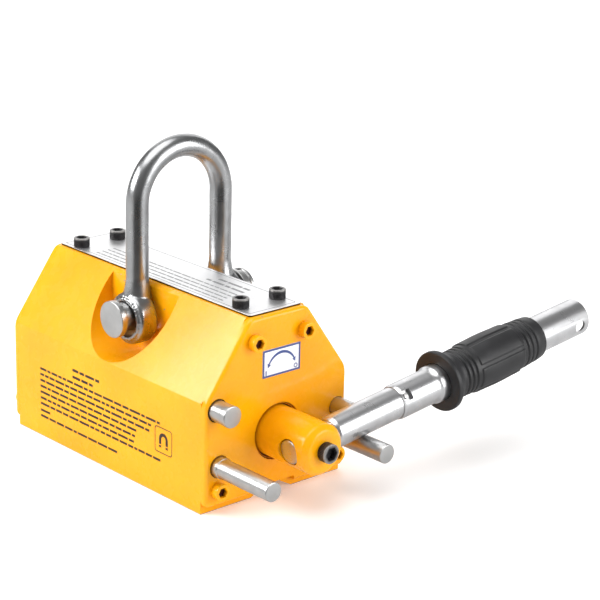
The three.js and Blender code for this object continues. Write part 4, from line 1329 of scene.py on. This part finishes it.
LAMPS = (
    # name, direction from the magnet, distance (m), width and height (m), watts
    ("left", (-0.77, 0.44, 0.47), 1.5, (1.12, 0.50), 19),
    ("front_right", (0.48, -0.9, 0.3), 1.5, (0.9, 0.9), 14),
    ("back_right", (0.62, 0.68, 0.42), 1.7, (1.7, 1.2), 8),
)
LAMP_TARGET_HEIGHT = 60 * MM
OVERHEAD_STRENGTH, SURROUND_STRENGTH, FLOOR_GLOW = 2.15, 0.2, 0.2
DARK_SIDE = Vector((-0.62, -0.78, 0))


def floor():
    """A pale floor with a faint glow. Reflections see it unlit on the photographer's side."""
    bpy.ops.mesh.primitive_grid_add(x_subdivisions=8, y_subdivisions=8, size=14)
    ground = bpy.context.object
    ground.name = "floor"
    ground.location = (MIDDLE.x, MIDDLE.y, -0.02 * MM)
    look = Look("pale_floor", specular_ior_level=0.1, emission_color=(1, 1, 1, 1))
    shade = look.noise(3, detail=2)
    white = look.mix(shade, (0.90, 0.90, 0.90), (0.93, 0.93, 0.93))
    toward = look.add("VectorMath", {0: look.place, 1: DARK_SIDE}, operation="DOT_PRODUCT")
    away = look.add("VectorMath", {0: look.place}, operation="LENGTH")
    facing_it = look.math("DIVIDE", toward.outputs["Value"], away.outputs["Value"])
    sector = look.ranged(facing_it, math.cos(math.radians(50)), math.cos(math.radians(28)))
    beyond = look.ranged(away.outputs["Value"], 0.17, 0.26)
    reflected = look.add("LightPath").outputs["Is Glossy Ray"]
    dark = look.ranged(look.math("MULTIPLY", sector, beyond), 0, 1, 0.45, 0.97)
    dark = look.math("MULTIPLY", dark, reflected)
    look.link("Base Color", look.mix(dark, white, (0, 0, 0)))
    look.link("Emission Strength", look.ranged(dark, 0, 1, FLOOR_GLOW, 0))
    look.link("Roughness", look.ranged(shade, 0, 1, 0.7, 0.8))
    ground.data.materials.append(look.material)


def lamp(name, kind, direction, distance):
    """A lamp of a kind, aimed at the magnet from a direction."""
    data = bpy.data.lights.new(name, kind)
    holder = bpy.data.objects.new(name, data)
    bpy.context.scene.collection.objects.link(holder)
    offset = Vector(direction).normalized() * distance
    holder.location = MIDDLE + UP * LAMP_TARGET_HEIGHT + offset
    holder.rotation_mode = "QUATERNION"
    holder.rotation_quaternion = (-offset).to_track_quat("-Z", "Y")
    holder.visible_camera = False
    return data


def studio():
    """Broad soft lights round the magnet, a soft overhead light and a dim even surround."""
    world = bpy.data.worlds.new("surround")
    bpy.context.scene.world = world
    world.use_nodes = True
    backdrop = world.node_tree.nodes["Background"]
    backdrop.inputs["Color"].default_value = (1, 1, 1, 1)
    backdrop.inputs["Strength"].default_value = SURROUND_STRENGTH
    for name, direction, distance, size, watts in LAMPS:
        softbox = lamp(name, "AREA", direction, distance)
        softbox.shape = "RECTANGLE"
        softbox.size, softbox.size_y = size
        softbox.energy = watts
    overhead = lamp("overhead", "SUN", (-0.15, 0.1, 1), 2)
    overhead.energy = OVERHEAD_STRENGTH
    overhead.angle = math.radians(60)
    bpy.context.scene.view_settings.view_transform = "Standard"


CAMERA_YAW = math.radians(42.366)
CAMERA_PITCH = math.radians(18.179)
CAMERA_ROLL = math.radians(1.362)
CAMERA_PLACE = Vector((-0.63046, -0.78649, 0.41325))
CAMERA_LENS = 122.87


def camera():
    """The photographer's view, found by fitting the housing's corners."""
    data = bpy.data.cameras.new("camera")
    data.lens = CAMERA_LENS
    data.sensor_width = 36
    data.clip_start = 0.05
    holder = bpy.data.objects.new("camera", data)
    bpy.context.scene.collection.objects.link(holder)
    ahead = Vector((math.sin(CAMERA_YAW) * math.cos(CAMERA_PITCH),
                    math.cos(CAMERA_YAW) * math.cos(CAMERA_PITCH), -math.sin(CAMERA_PITCH)))
    level = Vector((math.cos(CAMERA_YAW), -math.sin(CAMERA_YAW), 0))
    upward = level.cross(ahead)
    right = math.cos(CAMERA_ROLL) * level + math.sin(CAMERA_ROLL) * upward
    top = math.cos(CAMERA_ROLL) * upward - math.sin(CAMERA_ROLL) * level
    holder.matrix_world = axes_frame(MIDDLE + CAMERA_PLACE, right, top, -ahead)
    bpy.context.scene.camera = holder


camera()
floor()
studio()
pole(-1, "left_pole")
pole(1, "right_pole")
front_plate()
rear_plate()
nameplate()
all_screws()
stop_pins()
lock_pin()
hub()
handle_rod()
handle_tube()
handle_spring()
grip()
shackle()
shackle_pin()
label()
side_print()
nameplate_print()
inner_pieces()
